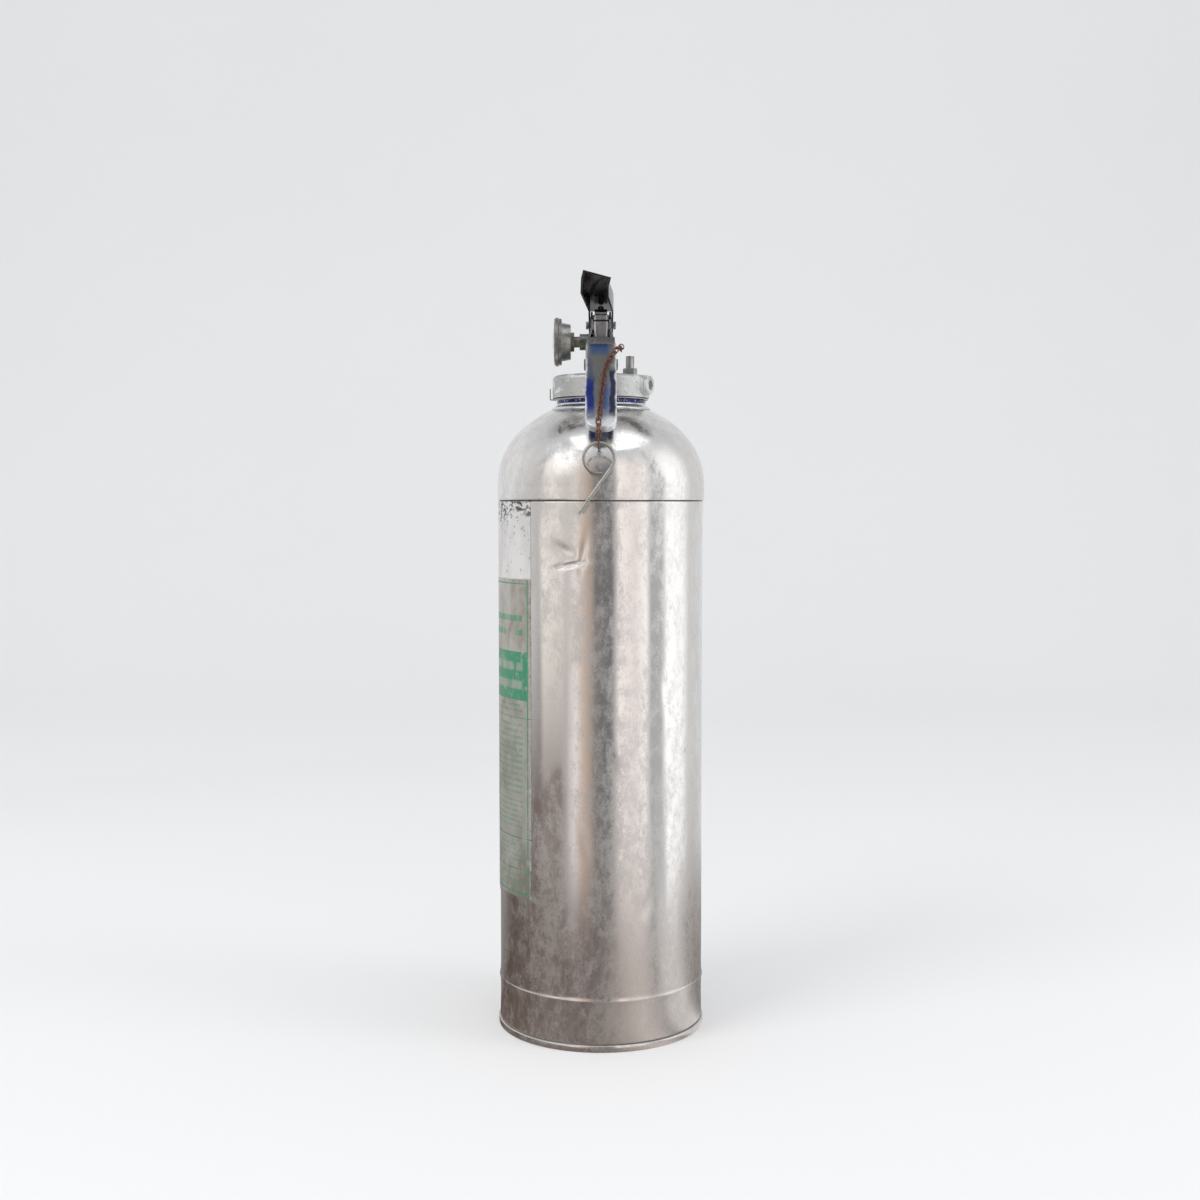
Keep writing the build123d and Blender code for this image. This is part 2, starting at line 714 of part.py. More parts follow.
# sloping grip: a shallow pressed channel with rounded rims and a rounded end
with BuildPart() as grip:
    with BuildSketch(arm_plane):
        with Locations((0, -arm_len / 2)):
            Rectangle(2 * handle_half_w, arm_len)
        fillet(vertices().group_by(Axis.Y)[0], radius=arm_end_r)
    extrude(amount=-arm_depth)
    fillet(grip.edges().group_by(Axis((0, 0, 0), arm_normal))[-1], radius=1.5)
    with BuildSketch(arm_plane.offset(-sheet)):
        with Locations((0, 1 - (arm_len - sheet) / 2)):
            Rectangle(2 * (handle_half_w - sheet), arm_len - sheet + 2)
        fillet(vertices().group_by(Axis.Y)[0], radius=arm_end_r - sheet)
    extrude(amount=-arm_depth, mode=Mode.SUBTRACT)
with BuildPart() as carry_handle:
    # cheeks: bent strips, wide over the cap and narrow at the pivot
    with BuildSketch(Plane.XZ.offset(-cheek_front_y)):
        for side in (1, -1):
            with BuildLine():
                Polyline(
                    (side * handle_half_w, cap_top_z + 1),
                    (side * handle_half_w, flare_low_z),
                    (side * cheek_half_w, flare_high_z),
                    (side * cheek_half_w, 621),
                    (side * (cheek_half_w - sheet), 621),
                    (side * (cheek_half_w - sheet), flare_high_z),
                    (side * (handle_half_w - sheet), flare_low_z),
                    (side * (handle_half_w - sheet), cap_top_z + 1),
                    (side * handle_half_w, cap_top_z + 1),
                )
            make_face()
    extrude(amount=cheek_front_y - cheek_back_y)
    # side outline of the cheeks
    with BuildSketch(Plane.YZ.offset(-20)):
        with BuildLine():
            Polyline(
                (cheek_front_y, 587),
                (cheek_front_y, 612),
                (cheek_front_y + 6, 619),
                (pivot_y - 6, 620),
                (pivot_y + 6, 618),
                (cheek_back_y, 611),
                (cheek_back_y, cap_top_z + 1),
                (-14, cap_top_z + 1),
                (cheek_front_y, 587),
            )
        make_face()
    extrude(amount=40, mode=Mode.INTERSECT)
    # upright lip that joins the cheeks above the grip
    with BuildSketch(Plane.XZ.offset(-cheek_front_y)):
        with Locations((0, (lip_low_z + lip_high_z) / 2)):
            Rectangle(2 * (handle_half_w - sheet) + 1, lip_high_z - lip_low_z)
    extrude(amount=1.8)
    add(grip.part)
    # holes: lever pin, locking pin, rivets and the gauge boss
    with BuildSketch(Plane.YZ.offset(-20)):
        with Locations((pivot_y, pivot_z)):
            Circle(pivot_pin_r + fit_gap)
        with Locations(lock_hole):
            Circle(pin_wire_r + 0.4)
        with Locations([(y, rivet_z) for y in rivet_spots]):
            Circle(rivet_r + fit_gap)
    extrude(amount=40, mode=Mode.SUBTRACT)
    with BuildSketch(Plane.YZ.offset(-20)):
        with Locations((gauge_y, gauge_z)):
            Circle(gauge_boss_r + 0.8)
    extrude(amount=20, mode=Mode.SUBTRACT)
carry_handle.part.label = "carry_handle"
export_step(carry_handle.part, "parts/carry_handle.step")

with BuildPart() as handle_rivets:
    for rivet_y in rivet_spots:
        with BuildSketch(Plane(origin=(-handle_half_w - 1.6, rivet_y, rivet_z), z_dir=(1, 0, 0))):
            Circle(4)
        extrude(amount=1.6)
        with BuildSketch(Plane(origin=(-handle_half_w, rivet_y, rivet_z), z_dir=(1, 0, 0))):
            Circle(rivet_r)
        extrude(amount=2 * handle_half_w)
        with BuildSketch(Plane(origin=(handle_half_w, rivet_y, rivet_z), z_dir=(1, 0, 0))):
            Circle(4)
        extrude(amount=1.6)
handle_rivets.part.label = "handle_rivets"
export_step(handle_rivets.part, "parts/handle_rivets.step")

# ---------------------------------------------------------------- lever
rise = radians(lever_rise)


def web_under(y):
    """Height of the underside of the lever's web at rest, at a place along Y."""
    return pivot_z + lever_h / cos(rise) + (pivot_y - y) * tan(rise)


def lever_section(y, shift, roll, half_w, depth):
    """A channel section across the lever, drawn on a plane rolled about Y."""
    turn = radians(roll)
    spot = (shift, y, web_under(y) + lever_sheet)
    with BuildSketch(Plane(origin=spot, x_dir=(cos(turn), 0, -sin(turn)), z_dir=(0, -1, 0))) as section:
        hang_down = (Align.CENTER, Align.MAX)
        Rectangle(2 * half_w, depth, align=hang_down)
        with Locations((0, -lever_sheet)):
            Rectangle(2 * (half_w - lever_sheet), depth, align=hang_down, mode=Mode.SUBTRACT)
    return section


bend_y = -30.0
root_depth = 15.0
with BuildPart() as lever_root:
    # straight root, which straddles the cheeks and turns on the pin
    with BuildSketch(Plane.YZ.offset(-lever_half_w)):
        with BuildLine():
            Polyline(
                (bend_y, web_under(bend_y) + lever_sheet),
                (bend_y, web_under(bend_y) + lever_sheet - root_depth),
                (pivot_y - 4, pivot_z - 6.2),
            )
            ThreePointArc(
                (pivot_y - 4, pivot_z - 6.2),
                (pivot_y + 5, pivot_z - 5.5),
                (pivot_y + 7.4, pivot_z),
            )
            Polyline(
                (pivot_y + 7.4, pivot_z),
                (pivot_y + 7.4, web_under(pivot_y + 7.4) + lever_sheet),
                (bend_y, web_under(bend_y) + lever_sheet),
            )
        make_face()
    extrude(amount=2 * lever_half_w)
    with BuildSketch(Plane.YZ.offset(-lever_half_w + lever_sheet)):
        with BuildLine():
            Polyline(
                (bend_y - 1, web_under(bend_y - 1)),
                (bend_y - 1, pivot_z - 20),
                (pivot_y + 20, pivot_z - 20),
                (pivot_y + 20, web_under(pivot_y + 20)),
                (bend_y - 1, web_under(bend_y - 1)),
            )
        make_face()
    extrude(amount=2 * (lever_half_w - lever_sheet), mode=Mode.SUBTRACT)
    with BuildSketch(Plane.YZ.offset(-20)):
        with Locations((pivot_y, pivot_z)):
            Circle(pivot_pin_r + stem_gap)
    extrude(amount=40, mode=Mode.SUBTRACT)
lever_parts = [lever_root.part]
# place along Y, sideways shift, roll, half width and depth of the bent blade's sections
stations = [
    (bend_y, 0, 0, lever_half_w, root_depth),
    (-62, -4.2, 6, 11.7, 10.5),
    (lever_tip_y, -3.1, 15, 11.7, 7),
]
for near, far in zip(stations, stations[1:]):
    with BuildPart() as span:
        near_section = lever_section(*near)
        far_section = lever_section(*far)
        loft([near_section.sketch, far_section.sketch], ruled=True)
    lever_parts.append(span.part)
with BuildPart() as lever:
    for piece in lever_parts:
        add(piece)
lever.part.label = "lever"
export_step(lever.part, "parts/lever.step")

with BuildPart() as lever_pin:
    with BuildSketch(Plane(origin=(-lever_half_w - 0.4, pivot_y, pivot_z), z_dir=(1, 0, 0))):
        Circle(pivot_pin_r)
    extrude(amount=2 * lever_half_w + 0.8)
    for side in (1, -1):
        spot = (side * (lever_half_w + 0.4), pivot_y, pivot_z)
        with BuildSketch(Plane(origin=spot, z_dir=(side, 0, 0))):
            Circle(3.4)
        extrude(amount=2.1)
    fillet(lever_pin.edges().filter_by(GeomType.CIRCLE).group_by(Axis.X)[-1], radius=0.8)
    fillet(lever_pin.edges().filter_by(GeomType.CIRCLE).group_by(Axis.X)[0], radius=0.8)
lever_pin.part.label = "lever_pin"
export_step(lever_pin.part, "parts/lever_pin.step")

# ---------------------------------------------------------------- chain and pull pin
# The anchor eye stands on the right cheek. The chain crosses the cheek's front edge,
# lies down the middle of the grip and hangs off its rounded end.
eye_spot = (17.4, -15.0, 590.0)
eye_r = 2.2
with BuildPart() as chain_eye:
    with Locations(Plane(origin=eye_spot, z_dir=(0, -1, 0))):
        Torus(eye_r, link_wire_r)
    with BuildSketch(Plane(origin=(handle_half_w, eye_spot[1], eye_spot[2]), z_dir=(1, 0, 0))):
        Circle(link_wire_r)
    extrude(amount=eye_spot[0] - eye_r - handle_half_w)
chain_eye.part.label = "chain_eye"
export_step(chain_eye.part, "parts/chain_eye.step")


def chain_link(spot, along, across):
    """One oval wire link, its length along the chain and its width along a given direction."""
    half_straight = (link_len - link_w) / 2
    half_w = link_w / 2 - link_wire_r
    with BuildPart() as link:
        with BuildLine(Plane(origin=spot, x_dir=along, z_dir=Vector(*along).cross(Vector(*across)))):
            low_side = Line((-half_straight, -half_w), (half_straight, -half_w))
            ThreePointArc(
                (half_straight, -half_w), (half_straight + half_w, 0), (half_straight, half_w)
            )
            Line((half_straight, half_w), (-half_straight, half_w))
            ThreePointArc(
                (-half_straight, half_w), (-half_straight - half_w, 0), (-half_straight, -half_w)
            )
        with BuildSketch(Plane(origin=low_side @ 0, z_dir=low_side % 0)):
            Circle(link_wire_r)
        sweep()
    return link.part


def on_grip(x, distance, height):
    """A point at a height over the grip's face, at a distance down its slope."""
    y = arm_start[0] - distance * cos(slope) - height * sin(slope)
    z = arm_start[1] - distance * sin(slope) + height * cos(slope)
    return (x, y, z)


lie_h = 2.45
hang_y = ring_center[1]
hang_x = ring_center[0] - 0.4
ring_top_z = ring_center[2] + ring_r
last_link_z = ring_top_z + link_len / 2 - 2 * link_wire_r - pin_wire_r - 0.15
first_link_z = last_link_z + link_pitch
with BuildLine() as chain_route:
    Spline(
        (eye_spot[0], eye_spot[1] + 0.4, eye_spot[2] - eye_r),
        (eye_spot[0] - 0.2, eye_spot[1] - 5.5, eye_spot[2] - 2.2),
        (eye_spot[0] - 0.9, -27.0, eye_spot[2] - 2.4),
        on_grip(14.6, 8.5, lie_h - 0.6),
        on_grip(11.6, 14, lie_h + 0.5),
        on_grip(8.4, 20, lie_h + 0.2),
        on_grip(5.6, 27, lie_h),
        on_grip(3.2, 37, lie_h),
        on_grip(1.6, 52, lie_h),
        on_grip(0.2, 68, lie_h),
        on_grip(-0.8, 84, lie_h),
        on_grip(hang_x, arm_len - 4, lie_h + 0.3),
        (hang_x, hang_y, first_link_z + link_pitch / 2),
    )
route = chain_route.edges()[0]
link_count = round(route.length / link_pitch)
carried = Vector(0, 0, 1)
with BuildPart() as handle_chain:
    for index in range(link_count):
        along_route = (index + 0.5) * route.length / link_count
        spot = route.position_at(along_route, position_mode=PositionMode.LENGTH)
        along = route.tangent_at(along_route, position_mode=PositionMode.LENGTH)
        level = carried.cross(along).normalized()
        carried = along.cross(level).normalized()
        # each link stands nearly square to the last, which leaves the chain a slow twist
        roll = radians(link_turn * index)
        across = carried * cos(roll) + level * sin(roll)
        add(chain_link(tuple(spot), tuple(along), tuple(across)))
handle_chain.part.label = "handle_chain"
export_step(handle_chain.part, "parts/handle_chain.step")

with BuildPart() as hanging_chain:
    add(chain_link((hang_x, hang_y, first_link_z), (0, 0, 1), (1, 0, 0)))
    add(chain_link((hang_x, hang_y, last_link_z), (0, 0, 1), (0, 1, 0)))
hanging_chain.part.label = "hanging_chain"
export_step(hanging_chain.part, "parts/hanging_chain.step")

# The pull pin is one wire: an open ring, which the straight leg leaves at a tangent.
tip_angle = atan2(pin_tip_z - ring_center[2], pin_tip_x - ring_center[0])
tip_reach = hypot(pin_tip_z - ring_center[2], pin_tip_x - ring_center[0])
leave_angle = tip_angle + acos(ring_r / tip_reach)
leave_point = (ring_center[0] + ring_r * cos(leave_angle), ring_center[2] + ring_r * sin(leave_angle))
ring_opening = 42.0
pin_plane = Plane(origin=(0, ring_center[1], 0), x_dir=(1, 0, 0), z_dir=(0, -1, 0))
with BuildPart() as pull_pin:
    with BuildLine(pin_plane):
        pin_ring = CenterArc(
            (ring_center[0], ring_center[2]),
            ring_r,
            degrees(leave_angle) - ring_opening,
            ring_opening - 360,
        )
        Line(leave_point, (pin_tip_x, pin_tip_z))
    with BuildSketch(Plane(origin=pin_ring @ 0, z_dir=pin_ring % 0)):
        Circle(pin_wire_r)
    sweep()
pull_pin.part.label = "pull_pin"
export_step(pull_pin.part, "parts/pull_pin.step")
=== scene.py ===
"""Looks of a stored-pressure water extinguisher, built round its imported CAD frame."""

import logging
import math
from dataclasses import dataclass
from enum import Enum
from typing import Any, Callable, Iterable, Optional, Sequence, Union

import bmesh
import bpy
from mathutils import Matrix, Vector, noise


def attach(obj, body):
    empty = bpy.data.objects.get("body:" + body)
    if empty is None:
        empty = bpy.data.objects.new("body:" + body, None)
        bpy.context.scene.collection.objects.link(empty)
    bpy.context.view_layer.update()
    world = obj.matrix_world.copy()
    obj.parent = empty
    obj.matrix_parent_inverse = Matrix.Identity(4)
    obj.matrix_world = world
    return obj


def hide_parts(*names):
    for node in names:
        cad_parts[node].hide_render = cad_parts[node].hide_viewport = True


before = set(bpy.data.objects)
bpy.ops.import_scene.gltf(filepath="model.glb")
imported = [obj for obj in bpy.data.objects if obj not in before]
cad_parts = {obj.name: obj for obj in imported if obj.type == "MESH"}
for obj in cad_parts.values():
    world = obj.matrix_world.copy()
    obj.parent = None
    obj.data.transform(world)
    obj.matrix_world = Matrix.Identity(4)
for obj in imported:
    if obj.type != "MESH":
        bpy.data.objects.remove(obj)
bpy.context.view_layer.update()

LOG = logging.getLogger("extinguisher")
MM = 0.001
UP = Vector((0.0, 0.0, 1.0))
ORIGIN = Vector((0.0, 0.0, 0.0))
DOUBLED = 1e-6
CRISP = math.radians(40.0)
Point = tuple[float, float]
Triple = tuple[float, float, float]
Colour = Triple
Bars = tuple[float, float, float, float]
Band = tuple[float, float, float, float]


class Body(str, Enum):
    """The CAD bodies that pieces ride on."""

    CYLINDER = "cylinder"
    HEAD = "head"


# --- shader expressions
def math_method(operation: str, swapped: bool = False) -> Callable[["Wire", "Value"], "Wire"]:
    """Makes the method behind a Python operator.

    Args:
        operation: Name of the Math node's operation.
        swapped: Whether the other value comes first.

    Returns:
        The method.
    """

    def method(self: "Wire", other: "Value") -> "Wire":
        values = (other, self) if swapped else (self, other)
        return self.paint.math(operation, *values)

    return method


class Wire:
    """A value coming out of a shader node, which Python operators carry on."""

    def __init__(self, paint: "Paint", socket: Optional[bpy.types.NodeSocket]) -> None:
        """Keeps the socket and the tree it belongs to.

        Args:
            paint: The node tree that new Math nodes go into.
            socket: The output that this wire starts from; None after a node that ends the tree.
        """
        self.paint = paint
        self.socket = socket

    __add__ = __radd__ = math_method("ADD")
    __sub__ = math_method("SUBTRACT")
    __rsub__ = math_method("SUBTRACT", swapped=True)
    __mul__ = __rmul__ = math_method("MULTIPLY")
    __truediv__ = math_method("DIVIDE")
    __lt__ = math_method("LESS_THAN")

    def __abs__(self) -> "Wire":
        """Size without its sign."""
        return self.paint.math("ABSOLUTE", self)


Value = Union[Wire, float, Sequence[float]]
Sockets = dict[str, Value]


class Paint:
    """The node tree of one finish or of the world, written as expressions."""

    def __init__(self, tree: bpy.types.NodeTree) -> None:
        """Empties the tree.

        Args:
            tree: The material's or world's node tree.
        """
        self.tree = tree
        self.tree.nodes.clear()
        self._place: Optional[Wire] = None

    def node(
        self,
        kind: str,
        settings: Optional[dict[str, Any]] = None,
        inputs: Optional[dict[Any, Value]] = None,
        out: Union[int, str] = 0,
    ) -> Wire:
        """Adds any node.

        Args:
            kind: Blender's type name of the node, without its first word.
            settings: Properties to set before its sockets are used.
            inputs: Socket name or number to a value or a wire.
            out: Name or number of the output to go on from.

        Returns:
            The wire that leaves the node.
        """
        made = self.tree.nodes.new(f"ShaderNode{kind}")
        for key, value in (settings or {}).items():
            setattr(made, key, value)
        for key, value in (inputs or {}).items():
            self.feed(made.inputs[key], value)
        return Wire(self, made.outputs[out] if made.outputs else None)

    def feed(self, socket: bpy.types.NodeSocket, value: Value) -> None:
        """Links a wire into a socket, or sets the socket to a constant.

        Args:
            socket: The input to fill.
            value: A wire, a number, or a colour of three numbers.
        """
        if isinstance(value, Wire):
            self.tree.links.new(value.socket, socket)
        elif socket.type == "RGBA" and len(value) == 3:
            socket.default_value = (*value, 1.0)
        else:
            socket.default_value = value

    def math(self, operation: str, *values: Value) -> Wire:
        """Adds a Math node on the given values."""
        return self.node("Math", {"operation": operation}, dict(enumerate(values)))

    def vector(self, operation: str, *values: Value) -> Wire:
        """Adds a Vector Math node on the given values."""
        return self.node("VectorMath", {"operation": operation}, dict(enumerate(values)))

    def mix(self, factor: Value, low: Value, high: Value) -> Wire:
        """Blends two colours: a factor of 0 gives the first, 1 the second."""
        settings = {"data_type": "RGBA", "clamp_factor": True}
        return self.node("Mix", settings, {0: factor, 6: low, 7: high}, out=2)

    def layers(self, base: Value, *coats: tuple[Value, Value]) -> Value:
        """Lays coats of colour over one another.

        Args:
            base: The colour underneath.
            coats: How far each coat covers, from 0 to 1, and its colour.

        Returns:
            The colour that shows.
        """
        for cover, colour in coats:
            base = self.mix(cover, base, colour)
        return base

    def band(self, value: Value, low: float, high: float) -> Wire:
        """Smooth step from 0 at low to 1 at high; it falls where low is the larger."""
        if low > high:
            return 1.0 - self.band(value, high, low)
        settings = {"interpolation_type": "SMOOTHSTEP", "clamp": True}
        return self.node("MapRange", settings, {0: value, 1: low, 2: high})

    def stripe(self, value: Value, low: float, high: float, soft: float = 0.0002) -> Wire:
        """1 between low and high, with soft edges."""
        return self.band(value, low - soft, low + soft) * self.band(value, high + soft, high - soft)

    @property
    def place(self) -> Wire:
        """The point on the piece, in metres."""
        if self._place is None:
            self._place = self.node("TexCoord", out="Object")
        return self._place

    def parts(self, vector: Wire) -> list[Wire]:
        """Splits a vector into its three numbers."""
        split = self.node("SeparateXYZ", None, {0: vector}).socket.node
        return [Wire(self, socket) for socket in split.outputs]

    @property
    def xyz(self) -> list[Wire]:
        """The point on the piece as three numbers."""
        return self.parts(self.place)

    def length(self, across: Wire, up: Wire) -> Wire:
        """Distance made up of two sides at a right angle."""
        return self.math("SQRT", across * across + up * up)

    def bearing(self) -> Wire:
        """Turn round the upright axis: 0 in front, -0.5 to 0.5 from left to right."""
        x, y, _ = self.xyz
        return self.math("ARCTAN2", x, y * -1.0) / math.tau

    def join(self, *values: Value) -> Wire:
        """Makes a vector of three numbers."""
        return self.node("CombineXYZ", None, dict(enumerate(values)))

    def noise(
        self,
        scale: float,
        detail: float = 4.0,
        rough: float = 0.55,
        stretch: Colour = (1.0, 1.0, 1.0),
        warp: float = 0.0,
        seed: float = 0.0,
        at: Optional[Wire] = None,
    ) -> Wire:
        """Cloudy noise over the piece.

        Args:
            scale: Waves per metre.
            detail: Number of finer octaves.
            rough: Strength of the finer octaves.
            stretch: Factor on each axis; below 1 draws the pattern out along it.
            warp: Distortion.
            seed: Shift that makes two noises differ.
            at: Point to read the noise at, instead of the point on the piece.

        Returns:
            A value near 0.5, from 0 to 1.
        """
        spot = self.vector("MULTIPLY", at or self.place, stretch)
        spot = self.vector("ADD", spot, (seed, seed * 0.7, seed * 1.3))
        inputs = {"Vector": spot, "Scale": scale, "Detail": detail, "Roughness": rough}
        return self.node("TexNoise", None, inputs | {"Distortion": warp})

    def scratches(self, scale: float, width: float, stretch: Colour, seed: float) -> Wire:
        """Thin wandering lines: 1 on a line, 0 off it."""
        field_ = self.noise(scale, 1.0, 0.5, stretch, 1.5, seed)
        patch = self.band(self.noise(scale * 0.7, 2.0, 0.5, seed=seed + 4), 0.46, 0.6)
        return self.band(abs(field_ - 0.5), width, 0.0) * patch

    def spots(self, scale: float, size: float, share: float, seed: float = 0.0) -> Wire:
        """Round specks.

        Args:
            scale: Cells per metre.
            size: Radius of a speck, as a part of a cell.
            share: How many cells hold one, from 0 to 1.
            seed: Shift of the pattern.

        Returns:
            1 inside a speck, 0 outside.
        """
        spot = self.vector("ADD", self.place, (seed, seed, seed))
        distance = self.node("TexVoronoi", None, {"Vector": spot, "Scale": scale}, out="Distance")
        pick = self.parts(Wire(self, distance.socket.node.outputs["Color"]))[0]
        return self.band(distance, size, size * 0.6) * (pick < share)

    def bump(
        self, height: Value, depth: float, strength: float, under: Optional[Wire] = None
    ) -> Wire:
        """Turns a height into a normal.

        Args:
            height: Height from 0 to 1.
            depth: Metres that a height of 1 stands for.
            strength: How much of it shows.
            under: Normal that this one adds to.

        Returns:
            The normal for the shader.
        """
        inputs: dict[Any, Value] = {"Height": height, "Distance": depth, "Strength": strength}
        if under is not None:
            inputs["Normal"] = under
        return self.node("Bump", None, inputs)

    def rounded(self, radius: float) -> Wire:
        """The normal, with edges rounded to a radius in metres."""
        return self.node("Bevel", {"samples": 4}, {"Radius": radius})

    def edge_wear(self, radius: float) -> Wire:
        """1 along edges, where the rounded normal leaves the true one."""
        true = self.node("NewGeometry", out="True Normal")
        sides = {0: self.rounded(radius), 1: true}
        near = self.node("VectorMath", {"operation": "DOT_PRODUCT"}, sides, out="Value")
        return self.band(1.0 - near, 0.02, 0.25)


def shaded(
    name: str, build: Callable[[Paint], Sockets], kind: str = "BsdfPrincipled"
) -> bpy.types.Material:
    """Makes a material of one shader.

    Args:
        name: Name of the material.
        build: Takes the paint and gives the shader's sockets.
        kind: Blender's type name of the shader, without its first word.

    Returns:
        The material.
    """
    material = bpy.data.materials.new(name)
    material.use_nodes = True
    paint = Paint(material.node_tree)
    shader = paint.node(kind, None, build(paint))
    paint.node("OutputMaterial", None, {"Surface": shader})
    return material


def add_object(name: str, data: bpy.types.ID) -> bpy.types.Object:
    """Makes an object of mesh, lamp or camera data and puts it into the scene."""
    made = bpy.data.objects.new(name, data)
    bpy.context.scene.collection.objects.link(made)
    return made


# --- finishes
@dataclass(frozen=True)
class PolishedSteel:
    """Scratched, hazy, polished stainless steel."""

    clean: Colour = (0.86, 0.85, 0.84)
    dull: Colour = (0.56, 0.54, 0.52)
    # Brown of the tea stains, also used for the painted reflection of the table near the bottom.
    stain_and_table_reflection: Colour = (0.50, 0.36, 0.27)
    black: Colour = (0.03, 0.028, 0.027)
    foot_line: Triple = (0.0056, 0.0070, 0.0004)
    seam_z: float = 0.459

    def build(self, p: Paint) -> Sockets:
        """Haze in patches, drawn streaks, fine scratches, tea stains, and a painted brown
        reflection of the table near the bottom.
        """
        x, _, height = p.xyz
        cloud = p.noise(11.0, 5.0, 0.6, (1, 1, 0.4), warp=0.4)
        mottle = p.noise(95.0, 10.0, 0.88, (1, 1, 0.6), seed=3.0)
        grain = p.noise(900.0, 3.0, 0.6, (1, 1, 0.35), seed=1.0)
        streak = p.noise(190.0, 5.0, 0.65, (1, 1, 0.02), seed=5.0)
        marks = p.scratches(45.0, 0.003, (1, 1, 0.3), 2.0)
        marks = marks + p.scratches(60.0, 0.004, (0.4, 0.4, 1.8), 7.0)
        rings = p.scratches(30.0, 0.010, (0.12, 0.12, 7.0), 9.0)
        haze = p.band(cloud * 0.55 + mottle * 1.15, 0.74, 0.98)
        worn = p.band(cloud, 0.36, 0.62)
        # Painted reflection: a brown tint from the table, in patches, fading in below 0.20 m.
        low = p.band(height, 0.20, 0.02) * p.band(cloud, 0.35, 0.6)
        seam = p.stripe(height, self.seam_z - 0.0010, self.seam_z + 0.0002, 0.0002)
        flakes = p.band(p.noise(240.0, 6.0, 0.75), 0.58, 0.64) * p.band(x, -0.030, -0.050)
        crust = seam + flakes * p.stripe(height, self.seam_z - 0.006, self.seam_z, 0.002)
        crust = crust + p.stripe(height, *self.foot_line) * 0.6
        colour = p.layers(
            self.clean,
            (haze * 0.6 + grain * 0.15, self.dull),
            (low * 0.2 + p.spots(70.0, 0.16, 0.08, 1.0) * 0.4, self.stain_and_table_reflection),
            (crust * 0.9, self.black),
        )
        rough = 0.035 + haze * 0.24 + worn * 0.03 + streak * 0.03 + marks * 0.05 + rings * 0.05
        height_map = streak * 0.35 + grain * 0.15 + mottle * 0.25 - marks * 0.2 - rings * 0.2
        return {
            "Base Color": colour,
            "Metallic": 1.0 - haze * 0.20 - marks * 0.05 - crust * 0.5,
            "Roughness": rough,
            "Normal": p.bump(height_map, 0.00006, 0.16),
        }


@dataclass(frozen=True)
class CastAlloy:
    """Dull cast aluminium with white oxide and grime."""

    metal: Colour = (0.50, 0.51, 0.51)
    grey: Colour = (0.36, 0.37, 0.37)
    rubbed: Colour = (0.78, 0.79, 0.8)
    oxide: Colour = (0.72, 0.73, 0.71)
    grime: Colour = (0.16, 0.16, 0.155)

    def build(self, p: Paint) -> Sockets:
        """Casting grain, oxide in patches, dark pits."""
        right = p.band(p.xyz[0], 0.012, 0.034)
        patch = p.band(p.noise(55.0, 6.0, 0.7, (1, 1, 1.3), warp=0.6) + right * 0.10, 0.48, 0.62)
        cracks = p.scratches(130.0, 0.03, (1, 1, 1), 6.0) * right
        grain = p.noise(900.0, 4.0, 0.6, seed=2.0)
        dirt = p.band(p.noise(160.0, 5.0, 0.7, warp=0.3, seed=5.0), 0.56, 0.72)
        pits = p.spots(420.0, 0.32, 0.20, 3.0)
        colour = p.layers(
            self.metal,
            (grain * 0.45, self.grey),
            (patch * 0.75, self.oxide),
            (dirt * 0.65 + pits * 0.5 + cracks * 0.5, self.grime),
            (p.edge_wear(0.0008) * 0.5, self.rubbed),
        )
        return {
            "Base Color": colour,
            "Metallic": 0.85 - patch * 0.55,
            "Roughness": 0.42 + patch * 0.22 + grain * 0.12,
            "Normal": p.bump(grain * 0.5 + patch * 0.35 - pits * 0.8, 0.00018, 0.8),
        }


@dataclass(frozen=True)
class ChromePlate:
    """Old bright chrome plate with pinholes and hazy handling wear."""

    tone: Colour = (0.72, 0.74, 0.76)
    tarnish: Colour = (0.30, 0.295, 0.28)
    rubbed: Colour = (0.70, 0.71, 0.73)

    def tint(self, p: Paint, colour: Value) -> Value:
        """Colour laid over the plate; plain chrome has none."""
        return colour

    def metal(self, p: Paint) -> Value:
        """Share of bare metal; plain chrome is all metal."""
        return 1.0

    def build(self, p: Paint) -> Sockets:
        """Pits, smears and brighter edges."""
        smear = p.noise(85.0, 5.0, 0.65, (1, 1, 0.6), warp=0.5)
        fine = p.noise(900.0, 3.0, 0.6, seed=3.0)
        pits = p.spots(1300.0, 0.24, 0.14)
        marks = p.scratches(170.0, 0.014, (1, 1, 1), 4.0)
        dull = p.band(smear, 0.50, 0.68)
        height = smear * 0.6 - pits * 0.2 - marks * 0.3
        colour = self.tint(p, p.mix(dull * 0.4 + pits * 0.55, self.tone, self.tarnish))
        return {
            "Base Color": p.mix(p.edge_wear(0.0007) * 0.45, colour, self.rubbed),
            "Metallic": self.metal(p),
            "Roughness": 0.10 + dull * 0.13 + fine * 0.05 + pits * 0.2 + marks * 0.15,
            "Normal": p.bump(height, 0.0001, 0.5, p.rounded(0.0006)),
        }


